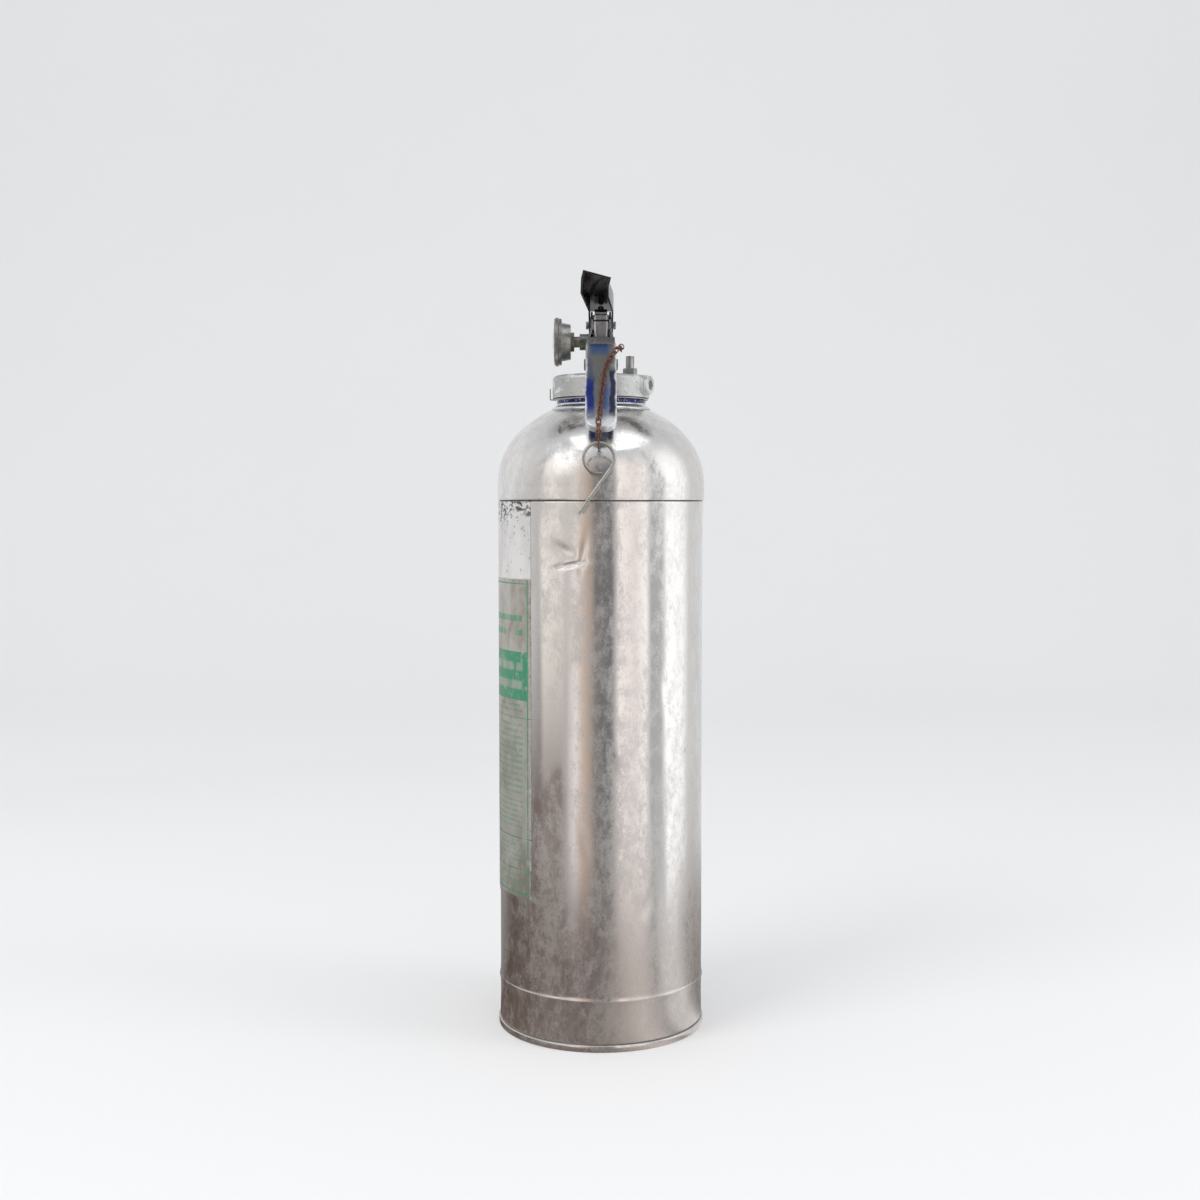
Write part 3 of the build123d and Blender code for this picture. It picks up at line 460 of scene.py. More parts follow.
@dataclass(frozen=True)
class GripChrome(ChromePlate):
    """Handle plate with painted reflections in blue and grey on its grip, and painted shade down
    the grip's right side.
    """

    lip: Colour = (0.22, 0.23, 0.25)
    top_y: float = -0.027
    top_z: float = 0.592
    slope: float = math.radians(47.5)
    # Painted reflections and shade on the grip: grey, sky-blue and deep blue, and near-black down
    # the right side. Across the grip and down it: from, to and softness in metres. Then cover and
    # colour.
    patches: Sequence[tuple[Triple, Triple, float, Colour]] = (
        ((-0.0118, 0.0118, 0.001), (0.000, 0.090, 0.006), 0.75, (0.15, 0.15, 0.125)),
        ((-0.009, 0.0065, 0.0025), (-0.002, 0.013, 0.006), 0.9, (0.085, 0.17, 0.42)),
        ((0.0002, 0.0074, 0.002), (0.048, 0.084, 0.010), 0.75, (0.085, 0.17, 0.42)),
        ((-0.0115, -0.0075, 0.002), (0.020, 0.050, 0.008), 0.4, (0.018, 0.042, 0.30)),
        ((-0.0122, -0.0056, 0.0012), (0.042, 0.084, 0.010), 0.92, (0.018, 0.042, 0.30)),
        ((0.0072, 0.0122, 0.0010), (0.032, 0.088, 0.004), 0.92, (0.006, 0.010, 0.050)),
    )

    def tint(self, p: Paint, colour: Value) -> Value:
        """Painted reflections and shade, placed by the distance down the grip and across it."""
        x, y, z = p.xyz
        drop = (self.top_y - y) * math.cos(self.slope) + (self.top_z - z) * math.sin(self.slope)
        wobble = p.noise(75.0, 4.0, 0.6, warp=0.4, seed=11.0) - 0.5
        down = drop + wobble * 0.016
        across = x + wobble * 0.006
        on_grip = p.band(y, -0.0255, -0.0275) * p.band(z, 0.5925, 0.5905)
        colour = p.mix((1.0 - on_grip) * p.band(y, -0.020, -0.024) * 0.5, colour, self.lip)
        # Each patch is a painted reflection or painted shade on the grip.
        for sides, ends, cover, reflected_colour in self.patches:
            patch = p.stripe(across, *sides) * p.stripe(down, *ends)
            colour = p.mix(patch * on_grip * cover, colour, reflected_colour)
        return colour

    def metal(self, p: Paint) -> Value:
        """Partly diffuse on the grip, so that its painted reflections show; bare metal on the
        cheeks and lip.
        """
        _, y, z = p.xyz
        return 1.0 - p.band(y, -0.0255, -0.0275) * p.stripe(z, 0.516, 0.5905, 0.004) * 0.42


@dataclass(frozen=True)
class ValveChrome(ChromePlate):
    """Valve body plate: bright in front, bare grey-green on the gauge's boss."""

    tone: Colour = (0.78, 0.785, 0.79)
    bare: Colour = (0.20, 0.215, 0.18)
    pale: Colour = (0.33, 0.34, 0.30)
    hazy: Colour = (0.40, 0.40, 0.41)
    # The last three colours are painted shade: the lower end of the front face, the line along its
    # groove, and the flanks between the cheeks.
    lower_face_shade: Colour = (0.13, 0.13, 0.12)
    line: Colour = (0.05, 0.05, 0.05)
    shade: Colour = (0.04, 0.05, 0.10)

    def tint(self, p: Paint, colour: Value) -> Value:
        """Grey-green boss; painted shade on the flanks between the cheeks, towards the lower end of
        the front face and in a line along its groove.
        """
        x, y, z = p.xyz
        boss = p.band(x, -0.0115, -0.0125)
        patch = p.band(p.noise(260.0, 5.0, 0.7), 0.4, 0.6)
        streaks = p.noise(420.0, 4.0, 0.7, (1.0, 1.0, 0.12))
        face = p.band(y, -0.0130, -0.0150)
        flank = p.band(y, -0.0125, -0.0105) * p.band(abs(x), 0.0126, 0.0116)
        return p.layers(
            colour,
            (boss, p.mix(patch * 0.5, self.bare, self.pale)),
            (face * p.band(streaks, 0.45, 0.62) * 0.5, self.hazy),
            # Painted shade: darker towards the lower end of the face, a dark line in its groove,
            # and dark flanks.
            (face * p.band(z, 0.602, 0.594) * 0.75, self.lower_face_shade),
            (face * p.stripe(z, 0.6115, 0.6130, 0.0004), self.line),
            (flank * 0.9, self.shade),
        )


@dataclass(frozen=True)
class ThreadChrome(ChromePlate):
    """Neck plate with blue-black lacquer left in the thread's roots."""

    navy: Colour = (0.018, 0.030, 0.13)
    crest_r: float = 0.0387

    def tint(self, p: Paint, colour: Value) -> Value:
        """Navy below the crests, with bright specks."""
        x, y, z = p.xyz
        root = p.band(p.length(x, y), self.crest_r, self.crest_r - 0.0003)
        above_weld = p.band(z, 0.5405, 0.5415)
        specks = p.band(p.noise(420.0, 4.0, 0.7), 0.56, 0.64)
        return p.mix(root * above_weld * (1.0 - specks * 0.7), colour, self.navy)


@dataclass(frozen=True)
class BlackEnamel:
    """Glossy black enamel on steel, chipped along its edges."""

    enamel: Colour = (0.012, 0.011, 0.011)
    brown: Colour = (0.022, 0.013, 0.010)
    steel: Colour = (0.20, 0.17, 0.15)

    def build(self, p: Paint) -> Sockets:
        """Orange peel, brown thin spots and bare chips."""
        cloud = p.noise(60.0, 5.0, 0.65, warp=0.5)
        peel = p.noise(420.0, 3.0, 0.5, seed=2.0)
        chip_noise = p.noise(260.0, 5.0, 0.7, seed=6.0)
        chips = p.band(p.edge_wear(0.0010) * 0.45 + chip_noise * 0.7, 0.68, 0.76)
        thin = p.band(cloud, 0.50, 0.70)
        return {
            "Base Color": p.layers(self.enamel, (thin * 0.7, self.brown), (chips, self.steel)),
            "Metallic": chips * 0.8,
            "Roughness": 0.16 + thin * 0.12 + peel * 0.05 + chips * 0.2,
            "Normal": p.bump(peel * 0.6 - chips * 0.5, 0.00012, 0.6, p.rounded(0.0006)),
            "Coat Weight": 0.12 - chips * 0.12,
            "Coat Roughness": 0.10,
            "Specular IOR Level": 0.28,
        }


@dataclass(frozen=True)
class SealRubber:
    """Aged black rubber."""

    tone: Colour = (0.030, 0.029, 0.028)
    dusty: Colour = (0.10, 0.098, 0.094)

    def build(self, p: Paint) -> Sockets:
        """Dusty bloom over a fine grain."""
        bloom = p.band(p.noise(180.0, 5.0, 0.6), 0.45, 0.65)
        return {
            "Base Color": p.mix(bloom * 0.6, self.tone, self.dusty),
            "Roughness": 0.62 + bloom * 0.2,
            "Normal": p.bump(p.noise(1500.0, 3.0), 0.00008, 0.6),
        }


@dataclass(frozen=True)
class TurnedMetal:
    """Machined fitting metal: brass, or steel gone dark."""

    tone: Colour
    dark: Colour
    verdigris: Colour
    crust: float

    def build(self, p: Paint) -> Sockets:
        """Dark clouds, crusty patches and rubbed edges."""
        cloud = p.band(p.noise(140.0, 5.0, 0.65, warp=0.3), 0.44, 0.66)
        crust = p.band(p.noise(300.0, 6.0, 0.7, seed=3.0), 0.60 - self.crust * 0.1, 0.72)
        grain = p.noise(1400.0, 3.0, 0.6, seed=8.0)
        colour = p.layers(
            self.tone,
            (cloud * 0.75, self.dark),
            (crust * self.crust, self.verdigris),
            (p.edge_wear(0.0006) * 0.55, tuple(min(1.0, 1.5 * c) for c in self.tone)),
        )
        return {
            "Base Color": colour,
            "Metallic": 1.0 - crust * 0.7 * self.crust,
            "Roughness": 0.26 + cloud * 0.18 + crust * 0.3 + grain * 0.06,
            "Normal": p.bump(grain * 0.4 + crust * 0.6, 0.00012, 0.7),
        }


@dataclass(frozen=True)
class GaugeGlass:
    """Aged clear plastic lens, slightly creamy and scuffed."""

    tone: Colour = (0.95, 0.93, 0.86)
    scuffed: Colour = (0.84, 0.80, 0.68)

    def build(self, p: Paint) -> Sockets:
        """Scuffs that catch the light."""
        scuff = p.band(p.noise(220.0, 5.0, 0.7, warp=0.4), 0.54, 0.7)
        marks = p.scratches(260.0, 0.016, (1, 1, 1), 3.0)
        return {
            "Base Color": p.mix(scuff * 0.3, self.tone, self.scuffed),
            "Roughness": 0.09 + scuff * 0.20 + marks * 0.3,
            "Transmission Weight": 0.82,
            "IOR": 1.38,
        }


@dataclass(frozen=True)
class DialFace:
    """Gauge dial: cream face with coloured arcs and ticks, without figures."""

    face: Colour = (0.82, 0.79, 0.70)
    red: Colour = (0.50, 0.03, 0.02)
    green: Colour = (0.03, 0.28, 0.09)
    ink: Colour = (0.02, 0.02, 0.02)
    aged: Colour = (0.55, 0.46, 0.30)
    centre_y: float = -0.005
    centre_z: float = 0.595

    def build(self, p: Paint) -> Sockets:
        """Radius and angle drive the printed arcs and ticks."""
        _, y, z = p.xyz
        across, up = y - self.centre_y, z - self.centre_z
        radius = p.length(across, up)
        # The pointer starts at +Y and sweeps over the top, a half turn in all.
        turn = p.math("ARCTAN2", up, across) / math.pi
        upper = p.band(turn, -0.002, 0.002)
        scale_ring = p.stripe(radius, 0.0122, 0.0146) * upper
        good = p.stripe(turn, 0.44, 0.56, 0.003)
        beyond = p.stripe(turn, 0.0, 0.44, 0.003) + p.stripe(turn, 0.56, 1.0, 0.003)
        small = p.band(abs(p.math("FRACT", turn * 20.0) - 0.5), 0.45, 0.47)
        ticks = small * p.stripe(radius, 0.0146, 0.0166) * upper
        rings = sum(p.stripe(radius, low, low + 0.0002, 0.00005) for low in (0.0120, 0.0146))
        age = p.noise(130.0, 5.0, 0.6)
        colour = p.layers(
            self.face,
            (scale_ring * beyond, self.red),
            (scale_ring * good, self.green),
            (ticks + rings * upper, self.ink),
            (p.band(age, 0.5, 0.7) * 0.35, self.aged),
        )
        return {
            "Base Color": colour,
            "Roughness": 0.42 + age * 0.15,
            "Normal": p.bump(p.noise(900.0), 0.00004, 0.4),
        }


@dataclass(frozen=True)
class PointerPaint:
    """Thin black paint on the pointer."""

    tone: Colour = (0.018, 0.018, 0.018)
    brass: Colour = (0.45, 0.36, 0.2)

    def build(self, p: Paint) -> Sockets:
        """Paint with small bare spots."""
        bare = p.spots(900.0, 0.3, 0.12)
        return {
            "Base Color": p.mix(bare, self.tone, self.brass),
            "Metallic": bare * 0.9,
            "Roughness": 0.35 + p.noise(500.0) * 0.15,
            "Normal": p.bump(p.noise(1100.0), 0.00004, 0.5),
        }


@dataclass(frozen=True)
class Wirework:
    """Wire of the chain or of the pin: metal under rust."""

    metal: Colour
    rust: Colour
    dark: Colour
    cover: float
    dull: Colour = (0.22, 0.21, 0.20)

    def build(self, p: Paint) -> Sockets:
        """Flaky rust over dull plate, more where cover is high."""
        flake = p.noise(420.0, 6.0, 0.7, warp=0.4)
        tone = p.noise(900.0, 4.0, 0.6, seed=3.0)
        rust = p.band(flake, 0.78 - self.cover * 0.5, 0.86 - self.cover * 0.5)
        rust_colour = p.mix(p.band(tone, 0.4, 0.62), self.rust, self.dark)
        return {
            "Base Color": p.mix(rust, p.mix(tone * 0.6, self.metal, self.dull), rust_colour),
            "Metallic": 0.95 - rust * 0.85,
            "Roughness": 0.30 + rust * 0.5 + tone * 0.1,
            "Normal": p.bump(flake * 0.6 + tone * 0.3 + rust * 0.3, 0.0002, 0.8),
        }


@dataclass(frozen=True)
class LabelFoil:
    """Worn silver foil label printed in green, with blank bars in place of words."""

    ground: Colour = (0.50, 0.49, 0.45)
    grimy: Colour = (0.32, 0.295, 0.25)
    bare: Colour = (0.62, 0.61, 0.58)
    green: Colour = (0.045, 0.25, 0.135)
    shell_r: float = 0.0889
    low: float = 0.123
    high: float = 0.393
    half_spread: float = math.radians(49.0)
    rules: Sequence[Point] = ((0.1735, 0.1745), (0.1465, 0.1475), (0.2758, 0.2765))
    # Lowest row, highest row, distance between rows, bars per metre.
    heading: Bars = (0.342, 0.366, 0.012, 70.0)
    knock_out: Bars = (0.296, 0.328, 0.0155, 80.0)
    small_print: Sequence[Bars] = (
        (0.210, 0.272, 0.0052, 190.0),
        (0.181, 0.206, 0.0044, 230.0),
        (0.152, 0.170, 0.0044, 230.0),
        (0.280, 0.289, 0.0045, 200.0),
        (0.129, 0.143, 0.0048, 150.0),
    )

    def rows(self, p: Paint, u: Wire, z: Wire, bars: Bars) -> Wire:
        """Rows of bars that stand for lines of small print.

        Args:
            p: The paint.
            u: Distance round the tank.
            z: Height.
            bars: Lowest row, highest row, distance between rows, bars per metre.

        Returns:
            1 on a bar.
        """
        low, high, pitch, words = bars
        row = (z - low) / pitch
        inside = p.stripe(p.math("FRACT", row), 0.30, 0.74, 0.08) * p.stripe(z, low, high)
        inside = inside * p.stripe(u, -0.066, 0.066)
        spot = p.join(u * words, p.math("FLOOR", row) * 3.7, 0.5)
        gaps = p.noise(1.0, 1.0, 0.5, at=spot, seed=low * 10.0)
        letters = p.noise(4.0, 1.0, 0.5, at=spot, seed=3.0)
        return inside * p.band(gaps, 0.34, 0.40) * (0.55 + 0.45 * p.band(letters, 0.36, 0.5))

    def build(self, p: Paint) -> Sockets:
        """Border, band, rules, print rows, then wear."""
        x, y, z = p.xyz
        u = p.math("ARCTAN2", y, x * -1.0) * self.shell_r
        edge = self.half_spread * self.shell_r
        frame_line = (
            p.stripe(z, self.low + 0.003, self.low + 0.0042)
            + p.stripe(z, self.high - 0.0042, self.high - 0.003)
            + p.stripe(abs(u), edge - 0.0045, edge - 0.0033)
        )
        frame_line = frame_line * p.stripe(abs(u), -1.0, edge - 0.003)
        rules = sum(p.stripe(z, *rule) for rule in self.rules)
        block = p.stripe(z, 0.291, 0.332) * p.stripe(abs(u), -1.0, edge - 0.004)
        heading = self.rows(p, u, z, self.heading)
        small_print = sum(self.rows(p, u, z, bars) for bars in self.small_print)
        knock_out = self.rows(p, u, z, self.knock_out)
        ink = frame_line + rules + heading * 0.85 + small_print * 0.6
        ink = ink + block * (1.0 - knock_out * 0.7)
        wear = p.band(p.noise(95.0, 7.0, 0.72, (1, 1, 0.8), warp=0.4), 0.52, 0.64)
        rub = p.scratches(80.0, 0.02, (1, 1, 0.4), 3.0)
        fray = p.band(abs(u), edge - 0.004, edge) * p.band(p.noise(300.0, 5.0, 0.7), 0.45, 0.55)
        ink = ink * (1.0 - wear * 0.55) * (1.0 - rub * 0.8)
        grime = p.noise(30.0, 6.0, 0.65, (1, 1, 0.6), warp=0.3, seed=6.0)
        coats = ((p.band(grime, 0.40, 0.66), self.grimy), (wear * 0.4 + fray * 0.7, self.bare))
        return {
            "Base Color": p.layers(self.ground, *coats, (ink, self.green)),
            "Metallic": 0.62 - ink * 0.5,
            "Roughness": 0.34 + grime * 0.18 + wear * 0.12,
            "Normal": p.bump(wear * -0.4 + p.noise(500.0) * 0.3 + fray, 0.00008, 0.6),
        }


@dataclass(frozen=True)
class PanelFilm:
    """Faded off-white panel with black specks, thicker near the seam."""

    film: Colour = (0.70, 0.69, 0.68)
    faded: Colour = (0.52, 0.51, 0.50)
    speck: Colour = (0.045, 0.045, 0.05)
    seam: float = 0.458

    def build(self, p: Paint) -> Sockets:
        """Specks whose number grows towards the seam."""
        near = p.band(p.xyz[2], self.seam - 0.045, self.seam)
        specks = p.spots(330.0, 0.34, 0.12) + p.spots(150.0, 0.26, 0.05, 2.0)
        flakes = p.band(p.noise(150.0, 7.0, 0.75, (1, 1, 1.6)) + near * 0.13, 0.63, 0.66)
        dark = specks * (0.35 + near * 0.65) + flakes * near
        fade = p.noise(26.0, 5.0, 0.6, (1, 1, 0.5))
        coats = ((p.band(fade, 0.42, 0.64) * 0.6, self.faded), (dark, self.speck))
        return {
            "Base Color": p.layers(self.film, *coats),
            "Metallic": 0.25,
            "Roughness": 0.40 + fade * 0.2,
            "Normal": p.bump(dark * 0.7 + p.noise(700.0) * 0.3, 0.00008, 0.6),
        }


class Finish(Enum):
    """Every finish of the extinguisher, by the record's slot name."""

    POLISHED_STEEL = ("polished_steel", PolishedSteel())
    CAST_ALLOY = ("cast_alloy", CastAlloy())
    CHROME_PLATE = ("chrome_plate", ChromePlate())
    GRIP_CHROME = ("chrome_plate", GripChrome())
    VALVE_CHROME = ("chrome_plate", ValveChrome())
    GAUGE_NICKEL = (
        "chrome_plate",
        TurnedMetal((0.36, 0.355, 0.34), (0.14, 0.135, 0.125), (0.40, 0.38, 0.33), 0.3),
    )
    THREAD_CHROME = ("chrome_plate", ThreadChrome())
    BLACK_ENAMEL = ("black_enamel", BlackEnamel())
    SEAL_RUBBER = ("seal_rubber", SealRubber())
    BRASS_FITTING = (
        "brass_fitting",
        TurnedMetal((0.34, 0.34, 0.27), (0.10, 0.105, 0.08), (0.24, 0.28, 0.24), 0.8),
    )
    STEEL_FITTING = (
        "steel_fitting",
        TurnedMetal((0.42, 0.42, 0.41), (0.13, 0.13, 0.13), (0.36, 0.36, 0.33), 0.5),
    )
    GAUGE_GLASS = ("gauge_glass", GaugeGlass())
    DIAL_FACE = ("dial_face", DialFace())
    POINTER_PAINT = ("pointer_paint", PointerPaint())
    RUSTY_WIRE = (
        "rusty_wire",
        Wirework((0.35, 0.28, 0.24), (0.20, 0.066, 0.036), (0.062, 0.026, 0.018), 0.95),
    )
    PLATED_WIRE = (
        "plated_wire",
        Wirework((0.50, 0.49, 0.46), (0.20, 0.085, 0.04), (0.08, 0.04, 0.025), 0.35),
    )
    LABEL_FOIL = ("label_foil", LabelFoil())
    PANEL_FILM = ("panel_film", PanelFilm())

    @property
    def slot(self) -> str:
        """The record's slot name."""
        return self.value[0]

    def material(self) -> bpy.types.Material:
        """The finish's material, made the first time it is asked for."""
        name = f"finish_{self.name.lower()}"
        return bpy.data.materials.get(name) or shaded(name, self.value[1].build)


# --- mesh work
class Shape:
    """One mesh in the making, worked on with bmesh operators."""

    def __init__(self) -> None:
        """Starts empty."""
        self.bm = bmesh.new()

    def outline(self, points: Iterable[Vector], closed: bool = False) -> list[Any]:
        """Lays a chain of edges through the points.

        Args:
            points: The corners in order.
            closed: Whether the last corner joins the first.

        Returns:
            The new vertices and edges.
        """
        verts = [self.bm.verts.new(point) for point in points]
        pairs = list(zip(verts, verts[1:]))
        if closed:
            pairs.append((verts[-1], verts[0]))
        return verts + [self.bm.edges.new(pair) for pair in pairs]

    @staticmethod
    def edges(geometry: Iterable[Any]) -> list[bmesh.types.BMEdge]:
        """The edges among the geometry."""
        return [item for item in geometry if isinstance(item, bmesh.types.BMEdge)]

    def lathe(self, points: Sequence[Point], steps: int, closed: bool = True) -> "Shape":
        """Turns an outline of radius and height, in millimetres, about the upright axis.

        Args:
            points: Radius and height of each corner.
            steps: Number of facets round the axis.
            closed: Whether the outline is a loop.

        Returns:
            This shape.
        """
        geometry = self.outline((Vector((r * MM, 0.0, z * MM)) for r, z in points), closed)
        turn = {"cent": ORIGIN, "axis": UP, "angle": math.tau, "steps": steps}
        bmesh.ops.spin(self.bm, geom=geometry, use_merge=True, **turn)
        return self.merge()

    def merge(self) -> "Shape":
        """Merges doubled corners and turns every face outwards."""
        bmesh.ops.remove_doubles(self.bm, verts=self.bm.verts, dist=DOUBLED)
        bmesh.ops.recalc_face_normals(self.bm, faces=self.bm.faces)
        return self

    def soften(self, width: float, segments: int = 2, angle: float = 35.0) -> "Shape":
        """Bevels every edge sharper than an angle.

        Args:
            width: Width of the bevel in millimetres.
            segments: Facets across the bevel.
            angle: Least angle between the two faces, in degrees.

        Returns:
            This shape.
        """
        limit = math.radians(angle)
        edges = [e for e in self.bm.edges if e.is_manifold and e.calc_face_angle(0.0) > limit]
        bmesh.ops.bevel(
            self.bm, geom=edges, offset=width * MM, offset_type="OFFSET", segments=segments,
            profile=0.5, affect="EDGES", material=-1, clamp_overlap=True,
        )
        return self

    def move(self, matrix: Matrix) -> "Shape":
        """Moves the whole shape."""
        bmesh.ops.transform(self.bm, matrix=matrix, verts=self.bm.verts)
        return self

    def push(self, depth: Callable[[Vector], float]) -> "Shape":
        """Presses the wall towards the upright axis, by a depth in millimetres at each corner."""
        for vert in self.bm.verts:
            away = Vector((vert.co.x, vert.co.y, 0.0))
            if away.length > DOUBLED:
                vert.co -= away.normalized() * depth(vert.co) * MM
        return self

    def mesh(self, name: str, material: bpy.types.Material) -> bpy.types.Mesh:
        """Ends the work on the shape.

        Args:
            name: Name of the mesh.
            material: Its one material.

        Returns:
            The mesh, shaded smooth.
        """
        data = bpy.data.meshes.new(name)
        self.bm.to_mesh(data)
        self.bm.free()
        for polygon in data.polygons:
            polygon.use_smooth = True
        data.materials.append(material)
        return data

    def piece(
        self,
        name: str,
        body: Body,
        finish: Finish,
        stands_for: Sequence[str] = (),
        wall: float = 0.0,
    ) -> None:
        """Makes the shape a piece of the extinguisher.

        Args:
            name: Name of the piece.
            body: CAD body that it rides on.
            finish: Its finish.
            stands_for: CAD nodes that it replaces.
            wall: Wall thickness in millimetres, laid inwards; 0 for a closed shape.
        """
        data = self.mesh(name, finish.material())
        data.set_sharp_from_angle(angle=CRISP)
        made = add_object(name, data)
        if wall:
            solid = made.modifiers.new("wall", "SOLIDIFY")
            solid.thickness = wall * MM
            solid.offset = -1.0
        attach(made, body.value)
        if stands_for:
            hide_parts(*stands_for)
        finish.slot
        LOG.info("made %s", name)


def fade(value: float, none: float, full: float) -> float:
    """Straight change from 0 at one value to 1 at the other, kept between them."""
    return min(1.0, max(0.0, (value - none) / (full - none)))


def ripple(spot: Vector, across: float, up: float, east: float = 0.0, lift: float = 0.0) -> float:
    """Smooth noise about 0 at a point.

    Args:
        spot: The point, in metres.
        across: Waves per metre, level.
        up: Waves per metre, upwards.
        east: Shift of the pattern to the right.
        lift: Shift of the pattern upwards.

    Returns:
        A value from -1 to 1.
    """
    return noise.noise(Vector((spot.x * across + east, spot.y * across, spot.z * up + lift)))


def steps_between(start: float, stop: float, pitch: float) -> list[float]:
    """Evenly spaced numbers from start to stop, both included."""
    count = max(1, round(abs(stop - start) / pitch))
    return [start + (stop - start) * i / count for i in range(count + 1)]


# --- tank
@dataclass
class Tank:
    """Drawn steel cylinder with a lapped dome, a rolled foot and a threaded neck."""

    radius: float = 88.9
    wall: float = 1.2
    foot_top: float = 6.0
    bead_z: float = 42.5
    seam_z: float = 459.0
    skirt_r: float = 89.7
    skirt_h: float = 16.0
    dome_rise: float = 70.0
    dome_wall: float = 1.4
    hole_r: float = 37.5
    label_half: float = 54.0
    label_low: float = 118.0
    label_high: float = 463.0
    facets: int = 256
    bead: Sequence[Point] = (
        (-2.6, 0.0), (-1.8, 0.16), (-1.0, 0.42), (0.0, 0.5), (1.0, 0.42), (1.8, 0.16), (2.6, 0.0),
    )
    # Distance round from the front, height, half width, half height, lean in degrees, depth.
    marks: Sequence[tuple[float, ...]] = (
        (-26.0, 406.0, 11.0, 2.4, 12.0, 1.9),
        (-32.0, 417.0, 12.0, 6.0, -28.0, 1.3),
        (-15.0, 414.0, 2.2, 14.0, -10.0, 0.7),
        (-52.4, 91.7, 3.0, 3.0, 0.0, 0.9),
        (9.0, 243.0, 5.0, 10.0, 20.0, 0.28),
        (-14.0, 176.0, 4.0, 16.0, 12.0, 0.30),
        (38.0, 120.0, 5.0, 12.0, -25.0, 0.30),
        (62.0, 300.0, 7.0, 16.0, 10.0, 0.35),
        (175.0, 210.0, 12.0, 9.0, 30.0, 0.9),
        (120.0, 350.0, 6.0, 18.0, -30.0, 0.7),
        (215.0, 120.0, 8.0, 8.0, 0.0, 0.8),
    )

    def waviness(self, spot: Vector) -> float:
        """Hand-polished unevenness of the wall, kept off the label, in millimetres."""
        slow, quick = ripple(spot, 13.0, 5.5), ripple(spot, 34.0, 11.0, lift=7.0)
        return (0.42 + 0.30 * slow + 0.10 * quick) * self.off_label(spot)

    def off_label(self, spot: Vector) -> float:
        """0 under the label and panel, 1 away from them."""
        turn = abs(math.degrees(math.atan2(spot.y, -spot.x)))
        if not self.label_low < spot.z / MM < self.label_high:
            return 1.0
        return fade(turn, self.label_half, self.label_half + 9.0)

    def dents(self, spot: Vector) -> float:
        """Creases and dimples of a used tank, in millimetres."""
        around = math.degrees(math.atan2(spot.x, -spot.y)) * self.radius * math.pi / 180.0
        half_way, total = math.pi * self.radius, 0.0
        for at, z, wide, tall, lean, deep in self.marks:
            turn = math.radians(lean)
            gap = (around - at + half_way) % (2.0 * half_way) - half_way
            rise = spot.z / MM - z
            along = gap * math.cos(turn) + rise * math.sin(turn)
            across = rise * math.cos(turn) - gap * math.sin(turn)
            total += deep * math.exp(-((along / wide) ** 2) - (across / tall) ** 2)
        return total

    def sheet(
        self,
        name: str,
        node: str,
        points: Sequence[Point],
        depth: Callable[[Vector], float],
        wall: float,
    ) -> None:
        """Makes a piece of polished sheet.

        Args:
            name: Name of the piece.
            node: CAD node that it replaces.
            points: Radius and height of each corner of its outside, in millimetres.
            depth: How far each point of it is pressed in, in millimetres.
            wall: Its thickness in millimetres.
        """
        shape = Shape().lathe(points, self.facets, closed=False).push(depth)
        shape.piece(name, Body.CYLINDER, Finish.POLISHED_STEEL, [node], wall)

    def shell(self) -> None:
        """The cylinder, from the foot to the lap under the dome."""
        rows = [self.foot_top, *steps_between(8.0, self.bead_z - 4.5, 6.0)]
        points = [(self.radius, z) for z in rows]
        points += [(self.radius + proud, self.bead_z + z) for z, proud in self.bead]
        # The rows stand close together where the creases are.
        for low, high, pitch in (
            (self.bead_z + 5.0, 392.0, 3.0), (393.0, 428.0, 1.0), (430.0, self.seam_z - 2.2, 3.0),
        ):
            points += [(self.radius, z) for z in steps_between(low, high, pitch)]
        lap = self.skirt_r - self.dome_wall - 0.1
        points.append((self.radius, self.seam_z - 1.4))
        points += [(lap, self.seam_z - 0.2), (lap, self.seam_z + 14.0)]

        def depth(spot: Vector) -> float:
            height = spot.z / MM
            by_bead = fade(abs(height - self.bead_z), 0.0, 12.0)
            kept = fade(height, 10.0, 30.0) * fade(height, self.seam_z - 4.0, self.seam_z - 18.0)
            return (self.waviness(spot) * by_bead + self.dents(spot)) * kept

        self.sheet("tank_wall", "tank_shell", points, depth, self.wall)

    def dome(self) -> None:
        """The drawn dome: a skirt that laps the cylinder, and a quarter ellipse to the neck."""
        base = self.seam_z + self.skirt_h
        skirt = [(-0.25, 0.0), (0.0, 0.35)]
        skirt += [(0.0, z) for z in steps_between(2.0, 9.0, 1.8)]
        skirt += [(-0.28, 11.0), (-0.02, 13.0)]
        points = [(self.skirt_r + out, self.seam_z + up) for out, up in skirt]
        stop = math.acos(self.hole_r / self.skirt_r)
        for turn in steps_between(0.0, stop, math.radians(1.6)):
            points.append((self.skirt_r * math.cos(turn), base + self.dome_rise * math.sin(turn)))

        def depth(spot: Vector) -> float:
            height = spot.z / MM
            kept = fade(height, self.seam_z + 14.0, self.seam_z + 24.0) * fade(height, 535.0, 527.0)
            slow, quick = ripple(spot, 17.0, 15.0), ripple(spot, 48.0, 40.0, east=5.0)
            return (0.36 + 0.26 * slow + 0.10 * quick) * kept

        self.sheet("dome", "top_dome", points, depth, self.dome_wall)

    def foot(self) -> None:
        """The rolled foot ring with its lip inside the shell."""
        outer, inner, lip = 90.0, 86.0, self.radius - self.wall - 0.05
        points = [
            (inner, 0.0), (outer, 0.0), (outer, 5.2), (outer - 0.5, self.foot_top),
            (lip, self.foot_top), (lip, 14.0), (inner, 14.0),
        ]
        shape = Shape().lathe(points, self.facets).soften(1.3, 3)
        shape.piece("rolled_foot", Body.CYLINDER, Finish.POLISHED_STEEL, ["foot_ring"])

